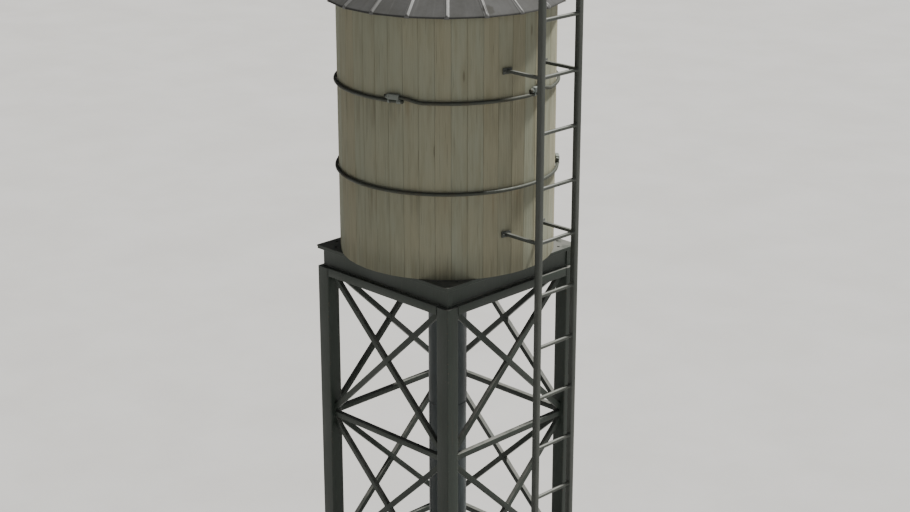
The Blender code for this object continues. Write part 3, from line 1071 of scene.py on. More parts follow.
@dataclass
class Hoop:
    """One hoop: iron rods from lug to lug, whose ends pass each other in every lug."""

    node: str
    name: str
    lug_angles: tuple[float, ...]
    iron: Material
    zinc: Material
    rod: float = 0.015
    overlap: float = 0.083
    lift: float = 0.032
    level_from: float = 0.070
    level_over: float = 0.20
    step: float = math.radians(1.6)
    sides: int = 12
    lug_size: tuple[float, float, float] = (0.03404, 0.100, 0.046)
    lug_sunk: float = 0.002
    lug_drop: float = 0.021
    collar_inset: float = 0.010
    height: float = field(init=False)
    centre: float = field(init=False)

    def __post_init__(self) -> None:
        """Read the hoop's place from the CAD."""
        self.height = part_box(self.node)[0].z + self.lug_drop
        self.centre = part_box("tank_wall")[1].x + self.rod + CLEARANCE

    def path(self, start: float, end: float) -> list[Vector]:
        """The middle line of one rod, high in its first lug and low in its last.

        Args:
            start: the first lug's angle in radians.
            end: the last lug's angle in radians.

        Returns:
            The line's points.
        """
        reach = self.overlap / self.centre
        count = math.ceil((end - start + 2 * reach) / self.step)
        points = []
        for i in range(count + 1):
            turn = start - reach + (end - start + 2 * reach) * i / count
            ease = min(1.0, max(0.0, (turn - start - self.level_from) / self.level_over))
            points.append(polar(self.centre, turn, self.lift * (1 - ease * ease * (3 - 2 * ease))))
        return points

    def rod_between(self, bm: BMesh, start: float, end: float) -> None:
        """Sweep one round rod along its path.

        Args:
            bm: the bmesh that receives it.
            start: the first lug's angle in radians.
            end: the last lug's angle in radians.
        """
        points = self.path(start, end)
        angles = [math.tau * k / self.sides for k in range(self.sides)]
        rings = []
        for i, point in enumerate(points):
            along = (points[min(i + 1, len(points) - 1)] - points[max(i - 1, 0)]).normalized()
            up = along.cross(Vector((point.x, point.y, 0)).normalized()).normalized()
            out = up.cross(along).normalized()
            rings.append(ring(bm, (point + (out * math.cos(a) + up * math.sin(a)) * self.rod for a in angles)))
        tube(bm, rings)

    def lug(self) -> BMesh:
        """Make one cast lug on the +X side, with a rib and a nut for each of its two rods.

        Returns:
            A bmesh that holds only the lug.
        """
        deep, long, tall = self.lug_size
        inner, foot = self.centre - self.rod + 0.0015, self.rod - self.lug_sunk
        bm = block((inner, -long / 2, foot), (inner + deep, long / 2, foot + tall), 0.009, 3)
        for y in (-long / 2 + self.collar_inset, long / 2 - self.collar_inset):
            collar = fresh()
            place = Matrix.Translation((self.centre + 0.001, y, 0.0)) @ Matrix.Rotation(math.pi / 2, 4, "X")
            lathe(collar, [(0.0175, -0.008), (0.0190, -0.006), (0.0190, 0.006), (0.0175, 0.008)], 20, place)
            add_to(bm, collar)
        nut = Fastener(across=0.032, washer=0.018, stands=0.0)
        for z, way in ((0.0, 1), (self.lift, -1)):
            turned = fresh()
            turned.from_mesh(nut.part("hoop_nut").data)
            place = Matrix.Translation((self.centre - 0.001, way * (long / 2 - 0.001), z))
            add_to(bm, turned, place @ Matrix.Rotation(math.radians(-90 * way), 4, "X"))
        return bm

    def build(self) -> None:
        """Build the hoop's rods and lugs in their place."""
        rods, lugs = fresh(), fresh()
        angles = [math.radians(a) for a in self.lug_angles]
        for start, end in zip(angles, angles[1:] + [angles[0] + math.tau]):
            self.rod_between(rods, start, end)
            add_to(lugs, self.lug(), Matrix.Rotation(start, 4, "Z"))
        for bm, name, material, nodes in ((rods, self.name, self.iron, [self.node]),
                                          (lugs, f"{self.name}_lugs", self.zinc, [])):
            bm.transform(Matrix.Translation((0, 0, self.height)))
            show(name, mesh_of(name, bm, 35, material), Slot.HOOP, *nodes)


@dataclass
class SeamedRoof:
    """The roof: dished pans that roll over at the eave, a round rib over each joint and a riveted cap."""

    finish: RoofSheet
    rib_finish: RoofSheet
    panels: int = 20
    seam_phase: float = math.radians(-45)
    slope: float = 0.70
    corner_radius: float = 1.010
    edge_radius: float = 1.0075
    hole_radius: float = 0.060
    thickness: float = 0.014
    edge_lift: float = 0.002
    roll_depth: float = 0.008
    dish: float = 0.003
    seam_width: float = 0.038
    seam_height: float = 0.013
    seam_start: float = 0.150
    seam_end: float = 0.0012
    cap_radius: float = 0.130
    rivet_inset: float = 0.016
    rivet_lift: float = 0.0121
    seed: int = 23
    material: Material = field(init=False)
    eave: float = field(init=False)

    def __post_init__(self) -> None:
        """Read the eave's height from the CAD."""
        self.material = self.finish.material()
        self.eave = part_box("roof")[0].z

    def ridge(self, radius: float) -> float:
        """Height of the upper surface on a joint between two panels, at this distance from the axis."""
        return self.eave + self.thickness + self.slope * (self.corner_radius - radius)

    def rolled(self, share: float, out: float = 0.0, lift: float = 0.0) -> tuple[float, float]:
        """Find a point of the curve that takes the sheet from the slope down to the eave's edge.

        Args:
            share: 0 at the edge, 1 where the slope begins.
            out: how far the edge is moved out.
            lift: how far the slope is lifted.

        Returns:
            The point's distance from the axis and its height.
        """
        edge, start = self.edge_radius + out, self.edge_radius - self.roll_depth
        low = Vector((edge, self.eave + self.edge_lift))
        corner = Vector((edge, self.ridge(self.edge_radius) + lift))
        high = Vector((start, self.ridge(start) + lift))
        point = low * (1 - share) ** 2 + corner * 2 * share * (1 - share) + high * share ** 2
        return point.x, point.y

    def pan(self) -> Object:
        """Build one pan in its place on the +X side.

        Returns:
            The object to copy.
        """
        bm = fresh()
        half = math.pi / self.panels
        rows, turns, columns = 9, 4, 8
        edge, bottom, hole = self.edge_radius, self.eave + self.edge_lift, self.hole_radius
        start = edge - self.roll_depth
        lines = [(hole, self.ridge(hole) - self.thickness + 0.004, 0.0), (edge - 0.0050, bottom + 0.0005, 0.0),
                 (edge - 0.0040, bottom - 0.0007, 0.0), (edge - 0.0010, bottom - 0.0007, 0.0)]
        lines += [(*self.rolled(i / turns), i / turns) for i in range(turns)]
        radii = [start + (hole - start) * i / rows for i in range(rows + 1)]
        lines += [(radius, self.ridge(radius), 1.0) for radius in radii]
        rings = []
        for radius, height, dished in lines:
            wide = radius * math.sin(half)
            shares = [2 * column / columns - 1 for column in range(columns + 1)]
            hollow = [self.dish * dished * (1 - q * q) * min(1.0, wide * 8) for q in shares]
            line = [(radius * math.cos(half), wide * q, height - deep) for q, deep in zip(shares, hollow)]
            rings.append(ring(bm, line))
        bridge(bm, rings + [rings[0]], closed=False)
        return part_of("pan", bm, 25)

    def seam(self) -> Object:
        """Build one round rib in its place on the +X side, rolled over the eave.

        Returns:
            The object to copy.
        """
        bm = fresh()
        begin, tall, sides, turns = self.seam_start, self.seam_height, 10, 5
        stops = [(begin, 0.1), (begin + 0.012, 0.7), (begin + 0.03, 1.0), (0.4, 1.0), (0.65, 1.0), (0.85, 1.0)]
        lines = [((r, self.ridge(r)), (r, self.ridge(r) + tall * high)) for r, high in stops]
        shares = [1 - i / turns for i in range(turns + 1)]
        lines += [(self.rolled(share), self.rolled(share, self.seam_end, tall)) for share in shares]
        sunk = Vector((-0.003, 0, -0.004))
        rings = []
        for base, crest in lines:
            low, high = Vector((base[0], 0, base[1])), Vector((crest[0], 0, crest[1]))
            wide = self.seam_width / 2 * min(1.0, 0.55 + 1.2 * (base[0] - begin))
            arch = [low + (high - low) * (0.5 + 0.5 * math.cos(math.pi * q)) + Vector((0, wide * q, 0))
                    for q in (2 * k / sides - 1 for k in range(sides + 1))]
            rings.append(ring(bm, [arch[0] + sunk, *arch, arch[-1] + sunk]))
        # The high edge mark on the rib's faces is partly wear, partly a painted highlight in the roof's finish.
        mark_edges(bm, tube(bm, rings), 0.85)
        return part_of("seam", bm, 50)

    def rivets(self) -> Mesh:
        """Rivet the cap to the panels.

        Returns:
            The mesh of all rivets.
        """
        cap = self.cap_radius - self.rivet_inset
        spot = Vector((cap, 0, self.ridge(cap) + self.rivet_lift))
        tilt = Vector((self.slope, 0, 1)).normalized()
        turns = [Matrix.Rotation(self.seam_phase + math.tau * (number + 0.5) / self.panels, 3, "Z")
                 for number in range(self.panels)]
        steps = [(1.0, -0.3), (1.0, 0.15), (0.86, 0.62), (0.5, 0.93)]
        rivet = turned_part("rivet", 0.005, 0.0008, steps, 12, 0.5, 60)
        places = [(turn @ spot, turn @ tilt) for turn in turns]
        return scattered("roof_rivets", places, rivet, self.material, self.seed)

    def cap(self) -> Mesh:
        """Build the cone that closes the apex, with a rolled rim.

        Returns:
            The cone's mesh.
        """
        bm = fresh()
        radius, fall, apex = self.cap_radius, self.slope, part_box("roof_cap")[1].z
        rim = apex - fall * radius
        profile = [(radius - 0.006, rim - 0.0115), (radius - 0.001, rim - 0.0113), (radius, rim - 0.008),
                   (radius, rim - 0.003), (radius - 0.003, apex - fall * (radius - 0.003) - 0.0005),
                   (radius - 0.030, apex - fall * (radius - 0.030)), (0.05, apex - fall * 0.05),
                   (0.012, apex - fall * 0.014), (0.003, apex - 0.0035)]
        lathe(bm, profile, 60)
        mark_edges(bm, bm.faces, 0.4)
        return mesh_of("roof_cap_cone", bm, 30, self.material)

    def build(self) -> None:
        """Build the pans, the seams, the rivets and the cap."""
        count, ribs = self.panels, self.rib_finish.material()
        middle = self.seam_phase + math.pi / count
        pans = circled("roof_pans", self.pan(), count, middle, self.material, self.seed)
        show("roof_pans", pans, Slot.ROOF, "roof")
        seams = circled("roof_seams", self.seam(), count, self.seam_phase, ribs, self.seed + 1)
        show("roof_seams", seams, Slot.ROOF)
        show("roof_rivets", self.rivets(), Slot.ROOF)
        show("roof_cap_cone", self.cap(), Slot.ROOF, "roof_cap")


@dataclass
class SteelTower:
    """The tower: box posts, level struts, crossed braces and the beams over the posts, all welded."""

    finish: PaintedSteel
    spacing: float = 1.451
    side: float = 0.128
    corner: float = 0.010
    plate: float = 0.230
    plate_thickness: float = 0.018
    bolt_inset: float = 0.023
    brace_width: float = 0.046
    brace_depth: float = 0.040
    brace_rim: float = 0.003
    strut_height: float = 0.050
    strut_depth: float = 0.046
    bar_rim: float = 0.004
    panels: int = 3
    top_node: float = 4.32
    panel_height: float = 1.38
    beam_outside: float = 0.757
    beam_width: float = 0.060
    flange: float = 0.012
    web_back: float = 0.010
    tie_width: float = 0.050
    weld: float = 0.008
    seed: int = 41
    material: Material = field(init=False)

    def __post_init__(self) -> None:
        """Make the paint once for all pieces."""
        self.material = self.finish.material()

    @property
    def reach(self) -> float:
        """Half the length of a bar between two posts."""
        return self.spacing / 2 - self.side / 2 - CLEARANCE

    def leg(self, name: str, sx: int, sy: int) -> None:
        """Build one post with its foot plate, anchor bolts and foot weld.

        Args:
            name: the corner's name in the CAD.
            sx: the side of the axis along X, 1 or -1.
            sy: the side of the axis along Y, 1 or -1.
        """
        node, floor = f"leg_{name}", self.plate_thickness
        x, y = sx * self.spacing / 2, sy * self.spacing / 2
        bm = post((x, y), self.side, floor - 0.002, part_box(node)[1].z, self.corner)
        half, reach = self.plate / 2, self.side / 2
        add_to(bm, block((x - half, y - half, 0), (x + half, y + half, floor), 0.003))
        inset = half - self.bolt_inset
        bolts = [(Vector((x + i * inset, y + j * inset, floor)), UP) for i in (-1, 1) for j in (-1, 1)]
        foot = around([Vector((x + i * reach, y + j * reach, floor)) for i, j in QUARTERS])
        anchors = scattered(f"{name}_anchors", bolts, Fastener().part("anchor"), self.material, self.seed)
        weld = welded(f"{name}_foot_weld", foot, self.weld * 1.3, self.material, self.seed)
        whole = join(node, mesh_of(node, bm, 30, self.material), anchors, weld)
        show(f"post_{name}", whole, Slot.TOWER, node)

    def crossed(self, low: float, high: float) -> list[Vector]:
        """Outline of two crossed bars between the corners of a panel, run on past them.

        Args:
            low: the lower nodes' height.
            high: the upper nodes' height.

        Returns:
            The outline's (x, z) points.
        """
        half_width, half_bar = self.spacing / 2, self.brace_width / 2
        rising = Vector((2 * half_width, high - low)).normalized()
        across = Vector((-rising.y, rising.x)) * self.brace_width / 2
        reach = rising * (Vector((half_width, (high - low) / 2)).length + 2 * self.brace_width)
        side, end = half_bar / rising.y, half_bar / rising.x
        mirror = Vector((-1, 1))
        outline = [Vector((side, 0)), reach - across, reach + across, Vector((0, end)),
                   (reach + across) * mirror, (reach - across) * mirror, Vector((-side, 0)),
                   -reach + across, -reach - across, Vector((0, -end)),
                   (-reach - across) * mirror, (-reach + across) * mirror]
        return [Vector((0, (low + high) / 2)) + point for point in outline]

    def clipped(self, outline: list[Vector], axis: int, limit: float, side: int) -> list[Vector]:
        """Keep the part of an outline on one side of a line.

        Args:
            outline: the outline.
            axis: 0 for a line at one X, 1 for a line at one height.
            limit: where the line is.
            side: 1 to keep what is over the limit, -1 to keep what is under it.

        Returns:
            The outline that is left.
        """
        kept = []
        for this, following in around(outline):
            a, b = side * (this[axis] - limit), side * (following[axis] - limit)
            if a >= 0:
                kept.append(this)
            if a * b < 0:
                kept.append(this + (following - this) * (a / (a - b)))
        return kept

    def end_welds(self, outline: Sequence[Vector], depth: tuple[float, float],
                  limits: Sequence[tuple[int, float]]) -> list[Segment]:
        """The weld lines round the ends of a cut plate.

        Args:
            outline: the plate's outline.
            depth: its front and its back face's Y.
            limits: the lines that it was cut to, each an axis and a place.

        Returns:
            The lines.
        """
        lines, touched = [], {}
        for this, following in around(outline):
            for axis, limit in limits:
                if abs(this[axis] - limit) < 1e-6 and abs(following[axis] - limit) < 1e-6:
                    lines += [tuple(Vector((p[0], y, p[1])) for p in (this, following)) for y in depth]
                    for point in (this, following):
                        key = (round(point[0], 5), round(point[1], 5))
                        touched[key] = touched.get(key, 0) + 1
        ends = [point for point, times in touched.items() if times == 1]
        return lines + [tuple(Vector((x, y, z)) for y in depth) for x, z in ends]

    def bar_welds(self, reach: float, depth: tuple[float, float], rise: tuple[float, float]) -> list[Segment]:
        """The weld lines round both ends of a level bar.

        Args:
            reach: half the bar's length.
            depth: its front and its back face's Y.
            rise: the heights of its lower and its upper face.

        Returns:
            The lines.
        """
        (front, back), (low, high) = depth, rise
        corners = ((front, low), (back, low), (back, high), (front, high))
        return [line for x in (-reach, reach) for line in around([Vector((x, y, z)) for y, z in corners])]

    def show_side(self, name: str, bm: BMesh, lines: Sequence[Segment], seed: int, side: Side,
                  *nodes: str) -> None:
        """Weld what was made for the front side, and show it on its own side.

        Args:
            name: the piece's name, without the side's.
            bm: its bars.
            lines: the lines of its welds.
            seed: the seed of the welds' ripples.
            side: the side of the tower.
            nodes: the CAD nodes that it stands for.
        """
        node = nodes[-1]
        weld = welded(f"{node}_weld", lines, self.weld, self.material, seed)
        whole = join(node, mesh_of(node, bm, 30, self.material), weld)
        whole.transform(side.turn)
        show(f"{name}_{side.word}", whole, Slot.TOWER, *nodes)

    def bracing(self, level: int, side: Side) -> None:
        """Build the strut and the crossed braces of one panel, with their welds.

        Args:
            level: the panel, counted from the top.
            side: the side of the tower.
        """
        strut, brace = f"strut_{level}_{side.word}", f"brace_{level}_{side.word}"
        low, high = (self.top_node - index * self.panel_height for index in (level, level - 1))
        reach, middle, tall = self.reach, -self.spacing / 2, self.strut_height / 2
        floor = low + tall + CLEARANCE
        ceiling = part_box(brace)[1].z if level == 1 else high - tall - CLEARANCE
        outline = self.crossed(low, high)
        limits = [(0, reach), (0, -reach), (1, ceiling), (1, floor)]
        for (axis, limit), way in zip(limits, (-1, 1, -1, 1)):
            outline = self.clipped(outline, axis, limit, way)
        flat = (middle - self.brace_depth / 2, middle + self.brace_depth / 2)
        deep = (middle - self.strut_depth / 2, middle + self.strut_depth / 2)
        rise = (low - tall, low + tall)
        bm = cut_plate(outline, *flat, self.brace_rim)
        bar = block((-reach, deep[0], rise[0]), (reach, deep[1], rise[1]))
        soften_long(bar, self.bar_rim)
        add_to(bm, bar)
        lines = self.end_welds(outline, flat, limits) + self.bar_welds(reach, deep, rise)
        centre, slant = (low + high) / 2, self.brace_width / 2
        steep = Vector((self.spacing, self.panel_height)).normalized()
        for x, z in ((slant / steep.y, 0), (-slant / steep.y, 0), (0, slant / steep.x), (0, -slant / steep.x)):
            lines.append(tuple(Vector((x, y, centre + z)) for y in flat))
        self.show_side(f"bracing_{level}", bm, lines, self.seed + 10 * level + side.value, side, strut, brace)

    def top_beam(self, side: Side) -> None:
        """Build the channel over the posts, its web set back between two flanges, and the tie below it.

        Args:
            side: the side of the tower.
        """
        node = f"top_beam_{side.word}"
        low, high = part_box(node)
        leg_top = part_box("leg_front_right")[1].z + CLEARANCE
        through = side in (Side.FRONT, Side.BACK)
        length = self.beam_outside if through else self.beam_outside - self.beam_width - CLEARANCE
        outer, inner = -self.beam_outside, -self.beam_outside + self.beam_width
        web, under, over = outer + self.web_back, leg_top + self.flange, high.z - self.flange
        section = [(outer, leg_top), (inner, leg_top), (inner, high.z), (outer, high.z), (outer, over),
                   (web, over - 0.004), (web, under + 0.004), (outer, under)]
        bm = rolled_bar(section, length, 0.002)
        reach, face = self.reach, self.spacing / 2 + self.side / 2
        depth, top = (-face, -face + self.tie_width), leg_top + 0.004
        tie = block((-reach, depth[0], low.z), (reach, depth[1], top))
        soften_long(tie, self.bar_rim)
        add_to(bm, tie)
        lines = self.bar_welds(reach, depth, (low.z, leg_top))
        lines.append(tuple(Vector((x, outer, top)) for x in (-reach, reach)))
        self.show_side("head_beam", bm, lines, self.seed + side.value, side, node)

    def build(self) -> None:
        """Build the posts, the bracing and the beams."""
        corners = {"front_right": (1, -1), "back_right": (1, 1), "back_left": (-1, 1), "front_left": (-1, -1)}
        for name, (sx, sy) in corners.items():
            self.leg(name, sx, sy)
        for level in range(1, self.panels + 1):
            for side in Side:
                self.bracing(level, side)
        for side in Side:
            self.top_beam(side)


@dataclass
class Platform:
    """The platform: a plate with a folded rim on two joists, bolted down at its corners."""

    material: Material
    thickness: float = 0.035
    joist_spacing: float = 0.640
    joist_width: float = 0.060
    joist_end: float = 0.0603
    flange: float = 0.010
    web: float = 0.010
    bolt_line: float = 0.727
    bolt_next: float = 0.620
    seed: int = 61

    def rim(self, half: float, top: float, bottom: float) -> BMesh:
        """Make the plate as a stack of square rings, with a shadow line under its edge.

        Args:
            half: half its side.
            top: its upper face's height.
            bottom: its lower face's height.

        Returns:
            A bmesh that holds only the plate.
        """
        bm = fresh()
        stack = [(half - 0.006, bottom), (half - 0.004, bottom + 0.002), (half - 0.004, top - 0.016),
                 (half - 0.001, top - 0.0145), (half, top - 0.0135), (half, top - 0.002), (half - 0.002, top)]
        faces = tube(bm, [ring(bm, ((reach * i, reach * j, z) for i, j in QUARTERS)) for reach, z in stack])
        mark_edges(bm, faces[-4:] + faces[8:16])
        return bm

    def joist(self, y: float, reach: float, low: float, high: float) -> BMesh:
        """Make one rolled I-shaped joist along X.

        Args:
            y: its middle line.
            reach: half its length.
            low: its bottom.
            high: its top.

        Returns:
            A bmesh that holds only the joist.
        """
        half, web, under, over = self.joist_width / 2, self.web / 2, low + self.flange, high - self.flange
        side = [(half, low), (half, under), (web, under + 0.006),
                (web, over - 0.006), (half, over), (half, high)]
        section = side + [(-w, z) for w, z in reversed(side)]
        return rolled_bar([(y + w, z) for w, z in section], reach, 0.0015)

    def build(self) -> None:
        """Build the plate, its joists and its bolts."""
        low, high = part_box("deck")
        bottom = high.z - self.thickness
        bm = self.rim(high.x, high.z, bottom)
        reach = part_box("top_beam_front")[1].x - self.joist_end
        for way in (-1, 1):
            add_to(bm, self.joist(way * self.joist_spacing / 2, reach, low.z, bottom + 0.001))
        spots = [(Vector((i * x, j * y, high.z)), UP) for i in (-1, 1) for j in (-1, 1)
                 for x, y in ((self.bolt_line, self.bolt_next), (self.bolt_next, self.bolt_line))]
        bolt = Fastener(across=0.019, height=0.006, washer=0.013, washer_thickness=0.002, stands=0.0)
        bolts = scattered("deck_bolts", spots, bolt.part("deck_bolt"), self.material, self.seed)
        whole = join("platform_deck", mesh_of("deck", bm, 30, self.material), bolts)
        show("platform_deck", whole, Slot.TOWER, "deck")


@dataclass
class Riser:
    """The pipe down the middle, with a blank bolted flange at its foot and a collar under the platform."""

    finish: PaintedSteel
    radius: float = 0.166
    flange: float = 0.235
    flange_thickness: float = 0.025
    fillet: float = 0.012
    collar: float = 0.016
    bolts: int = 8
    bolt_circle: float = 0.205
    sides: int = 96
    girth_welds: tuple[float, ...] = (1.55, 3.05)
    weld: float = 0.009
    weld_steps: int = 72
    seed: int = 71

    def pipe(self, top: float) -> BMesh:
        """Make the pipe with its flange and collar.

        Args:
            top: its upper end's height.

        Returns:
            A bmesh that holds only the pipe.
        """
        bm = fresh()
        thick, radius, flange = self.flange_thickness, self.radius, self.flange
        foot, length = thick + self.fillet, top - 0.05 - thick
        profile = [(flange - 0.002, 0), (flange, 0.002), (flange, thick - 0.002), (flange - 0.002, thick),
                   (radius + 0.012, thick), (radius + 0.004, thick + 0.004), (radius, foot)]
        profile += [(radius, foot + length * i / 8) for i in range(1, 8)]
        profile += [(radius, top - self.collar), (radius + 0.003, top - 0.013), (radius + 0.022, top - 0.011),
                    (radius + 0.024, top - 0.009), (radius + 0.024, top)]
        lathe(bm, profile, self.sides)
        for face in bm.faces:
            middle = face.calc_center_median().z
            if middle < 0.003 or abs(middle - thick) < 0.002 and face.calc_area() < 1e-4:
                mark_edges(bm, [face])
        return bm

    def weld_lines(self, top: float) -> list[Segment]:
        """The lines of the girth welds and of the seams between them.

        Args:
            top: the pipe's upper end's height.

        Returns:
            The lines.
        """
        lines, turns = [], [math.tau * i / self.weld_steps for i in range(self.weld_steps)]
        for height in self.girth_welds:
            lines += around([polar(self.radius, turn, height) for turn in turns])
        stops = (self.flange_thickness + self.fillet, *self.girth_welds, top - self.collar)
        for number, ends in enumerate(zip(stops, stops[1:])):
            foot = polar(self.radius, math.radians(100 + 150 * number))
            lines.append(tuple(foot + Vector((0, 0, height)) for height in ends))
        return lines

    def build(self) -> None:
        """Build the pipe, its welds and its bolts."""
        material, top = self.finish.material(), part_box("riser")[1].z
        turns = [Matrix.Rotation(math.tau * (i + 0.5) / self.bolts, 3, "Z") for i in range(self.bolts)]
        spots = [(turn @ Vector((self.bolt_circle, 0, self.flange_thickness)), UP) for turn in turns]
        nut = Fastener(across=0.027, height=0.016, washer=0.021, thread=0.009, stands=0.014).part("flange_nut")
        weld = welded("riser_weld", self.weld_lines(top), self.weld, material, self.seed)
        bolts = scattered("riser_bolts", spots, nut, material, self.seed)
        whole = join("riser_pipe", mesh_of("riser", self.pipe(top), 30, material), weld, bolts)
        show("riser_pipe", whole, Slot.RISER, "riser")


@dataclass
class Ladder:
    """The ladder: two square rails, round rungs and the arms that hold it off the tank."""

    finish: PaintedSteel
    rail: float = 0.048
    rungs: int = 16
    pitch: float = 0.4525
    lowest: float = 0.328
    rung_radius: float = 0.0165
    foot: float = 0.100
    foot_thickness: float = 0.010
    foot_bolt: float = 0.036
    arm_section: tuple[float, float] = (0.028, 0.026)
    arm_foot: tuple[float, float, float] = (0.085, 0.050, 0.012)
    arm_weld: float = 0.007
    screw_line: float = 0.029
    stave_radius: float = 0.915
    seat: float = 0.9153
    seed: int = 81
    material: Material = field(init=False)
    x: float = field(init=False)
    y: float = field(init=False)
    top: float = field(init=False)

    def __post_init__(self) -> None:
        """Read the rails' place from the CAD."""
        self.material = self.finish.material()
        low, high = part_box("ladder")
        self.x, self.y, self.top = (low.x + high.x) / 2, high.y - self.foot / 2, high.z

    def rails(self) -> Mesh:
        """Build the two rails with closed tops and their foot plates.

        Returns:
            The mesh of both.
        """
        bm = fresh()
        x, top, floor, half = self.x, self.top, self.foot_thickness, self.foot / 2
        side = self.rail / 2 - 0.004
        for y in (-self.y, self.y):
            add_to(bm, post((x, y), self.rail, floor - 0.001, top - 0.002, 0.006, 3))
            add_to(bm, block((x - side, y - side, top - 0.003), (x + side, y + side, top), 0.0015))
            add_to(bm, block((x - half, y - half, 0), (x + half, y + half, floor), 0.002))
        return mesh_of("rails", bm, 30, self.material)

    def rung(self) -> Object:
        """Build the lowest rung between the rails, with a weld ring at each end.

        Returns:
            The object to copy.
        """
        bm = fresh()
        reach, r = self.y - self.rail / 2, self.rung_radius
        place = Matrix.Translation((self.x, 0, self.lowest)) @ Matrix.Rotation(math.radians(-90), 4, "X")
        ends = [(r + 0.005, reach + 0.001), (r + 0.0045, reach - 0.003), (r + 0.0015, reach - 0.006),
                (r, reach - 0.007), (r, reach * 0.5)]
        lathe(bm, [(a, -b) for a, b in ends] + [(r, 0.0)] + ends[::-1], 20, place)
        mark_edges(bm, [f for f in bm.faces if abs(f.calc_center_median().y) > reach - 0.008], 0.6)
        return part_of("rung", bm, 40)

    def arm(self, node: str) -> None:
        """Build one arm from its foot plate on a stave to the rail.

        Args:
            node: its CAD node.
        """
        low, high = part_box(node)
        way = 1 if low.y + high.y > 0 else -1
        y, z, wall = way * self.y, (low.z + high.z) / 2, self.seat
        angle = math.asin(self.y / self.stave_radius) * way
        turn = Matrix.Rotation(angle, 4, "Z")
        across, tall = self.arm_section[0] / 2, self.arm_section[1] / 2
        wide, high_half, thick = self.arm_foot[0] / 2, self.arm_foot[1] / 2, self.arm_foot[2]
        bm = block((wall, -wide, z - high_half), (wall + thick, wide, z + high_half), 0.003)
        bm.transform(turn)
        start = wall * math.cos(angle)
        bar = block((start + 0.008, y - across, z - tall), (high.x, y + across, z + tall))
        soften_long(bar, 0.004, 0.05)
        add_to(bm, bar)
        aim, line = turn.to_3x3(), self.screw_line
        spots = [(aim @ Vector((wall + thick, i * line, z)), aim @ Vector((1, 0, 0))) for i in (-1, 1)]
        head = Fastener(across=0.014, height=0.007, washer=0.010, washer_thickness=0.002, thread=0.005,
                        stands=0.0)
        order = ((-1, -1), (1, -1), (1, 1), (-1, 1))
        corners = [Vector((high.x, y + i * across, z + j * tall)) for i, j in order]
        near = [Vector((start + 0.0125, c.y, c.z)) for c in corners]
        lean = [Vector((p.x - (abs(p.y) - self.y) * math.tan(abs(angle)), p.y, p.z)) for p in near]
        screws = scattered(f"{node}_screws", spots, head.part("screw"), self.material, self.seed)
        weld = welded(f"{node}_weld", around(corners) + around(lean), self.arm_weld, self.material, self.seed)
        whole = join(node, mesh_of(node, bm, 30, self.material), screws, weld)
        show(node.replace("ladder_arm", "stay_arm"), whole, Slot.LADDER, node)

    def build(self) -> None:
        """Build the rails with their rungs, and the four arms."""
        rungs = stacked("rungs", self.rung(), self.rungs, self.pitch, self.material)
        spots = [(Vector((self.x + i, y + i, self.foot_thickness)), UP)
                 for y in (-self.y, self.y) for i in (-self.foot_bolt, self.foot_bolt)]
        bolt = Fastener(across=0.013, height=0.007, washer=0.010, washer_thickness=0.002, thread=0.004,
                        stands=0.006)
        feet = scattered("ladder_bolts", spots, bolt.part("foot_bolt"), self.material, self.seed)
        show("rail_ladder", join("rail_ladder", self.rails(), rungs, feet), Slot.LADDER, "ladder")
        for node in sorted(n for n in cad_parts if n.startswith("ladder_arm")):
            self.arm(node)


@dataclass
class Lamp:
    """A soft light from far away: its place in degrees, its strength, how wide it looks and its colour."""

    name: str
    azimuth: float
    elevation: float
    strength: float
    softness: float
    colour: Colour

    def build(self) -> None:
        """Hang the light."""
        data = bpy.data.lights.new(self.name, "SUN")
        data.energy, data.angle, data.color = self.strength, math.radians(self.softness), self.colour
        lamp = bpy.data.objects.new(self.name, data)
        azimuth, elevation = math.radians(self.azimuth), math.radians(self.elevation)
        level = math.cos(elevation)
        towards = Vector((math.cos(azimuth) * level, math.sin(azimuth) * level, math.sin(elevation)))
        lamp.rotation_euler = towards.to_track_quat("Z", "Y").to_euler()
        lamp.location = towards * 30
        bpy.context.scene.collection.objects.link(lamp)


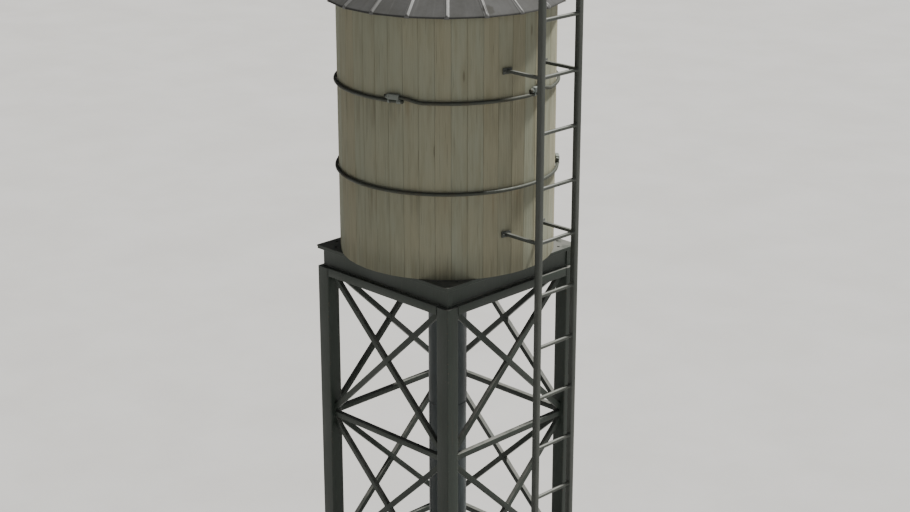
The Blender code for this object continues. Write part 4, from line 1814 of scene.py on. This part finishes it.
@dataclass
class Studio:
    """The pale floor, the soft lights and the camera at the photograph's angle."""

    finish: StudioFloor
    floor_side: float = 400.0
    camera_place: tuple[float, float, float] = (10.5858, -10.5858, 9.6099)
    lens: float = 72.78
    sensor: float = 36.0
    pitch: float = math.radians(19.2204)
    heading: float = math.radians(0.256)
    roll: float = math.radians(0.04)
    air: Colour = (0.93, 0.96, 1.0)
    air_strength: float = 0.14

    def floor(self) -> None:
        """Lay the floor."""
        bm = fresh()
        bmesh.ops.create_grid(bm, x_segments=8, y_segments=8, size=self.floor_side / 2)
        floor = bpy.data.objects.new("floor", mesh_of("floor", bm, 40, self.finish.material()))
        bpy.context.scene.collection.objects.link(floor)

    def surroundings(self) -> None:
        """Light the scene evenly from all around."""
        world = bpy.data.worlds.new("studio_air")
        world.use_nodes = True
        backdrop = world.node_tree.nodes["Background"]
        backdrop.inputs["Color"].default_value = (*self.air, 1.0)
        backdrop.inputs["Strength"].default_value = self.air_strength
        bpy.context.scene.world = world

    def camera(self) -> None:
        """Set the camera where the photograph was taken from."""
        data = bpy.data.cameras.new("camera")
        data.lens, data.sensor_width, data.clip_end = self.lens, self.sensor, 1000.0
        camera = bpy.data.objects.new("camera", data)
        away, right = Vector((-1, 1, 0)).normalized(), Vector((1, 1, 0)).normalized()
        level = away * math.cos(self.heading) + right * math.sin(self.heading)
        look = level * math.cos(self.pitch) - UP * math.sin(self.pitch)
        turn = look.to_track_quat("-Z", "Y").to_matrix() @ Matrix.Rotation(-self.roll, 3, "Z")
        camera.rotation_euler = turn.to_euler()
        camera.location = self.camera_place
        bpy.context.scene.collection.objects.link(camera)
        bpy.context.scene.camera = camera

    def build(self) -> None:
        """Set up the floor, the lights and the camera."""
        self.floor()
        Lamp("key_light", 79.0, 60.0, 9.0, 5.0, (1.0, 0.985, 0.955)).build()
        Lamp("fill_light", -12.0, 22.0, 0.42, 40.0, (0.95, 0.97, 1.0)).build()
        self.surroundings()
        self.camera()


def main() -> None:
    """Build every sub-assembly in order."""
    logging.basicConfig(level=logging.INFO, format="%(name)s: %(message)s")
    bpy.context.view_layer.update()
    tower_paint = PaintedSteel("tower_paint", screen(35, 44, 37), screen(44, 52, 45), screen(104, 103, 98),
                               dusty=0.7, gloss=0.48)
    riser_paint = PaintedSteel("riser_paint", screen(45, 54, 55), screen(54, 62, 63), screen(108, 107, 100),
                               gloss=0.48)
    ladder_zinc = PaintedSteel("ladder_zinc", screen(58, 62, 57), screen(72, 75, 70), screen(112, 112, 106),
                               chips=0.3, dusty=0.45, gloss=0.44, metallic=0.15)
    lug_zinc = PaintedSteel("lug_zinc", screen(98, 104, 99), screen(108, 113, 107), screen(120, 120, 112),
                            chips=0.2, dusty=0.3, gloss=0.55)
    Studio(StudioFloor()).build()
    tower = SteelTower(tower_paint)
    tower.build()
    Platform(tower.material).build()
    Riser(riser_paint).build()
    StaveTank(StaveWood()).build()
    iron, zinc = HoopIron().material(), lug_zinc.material()
    Hoop("hoop_1", "hoop_lower", (47.0, 125.0, 203.0), iron, zinc).build()
    Hoop("hoop_2", "hoop_upper", (6.0, 84.0, 162.0, 288.0), iron, zinc).build()
    SeamedRoof(RoofSheet(), RoofSheet("rib_sheet", roughness=0.45, specular=0.3)).build()
    Ladder(ladder_zinc).build()


if __name__ == "__main__":
    main()
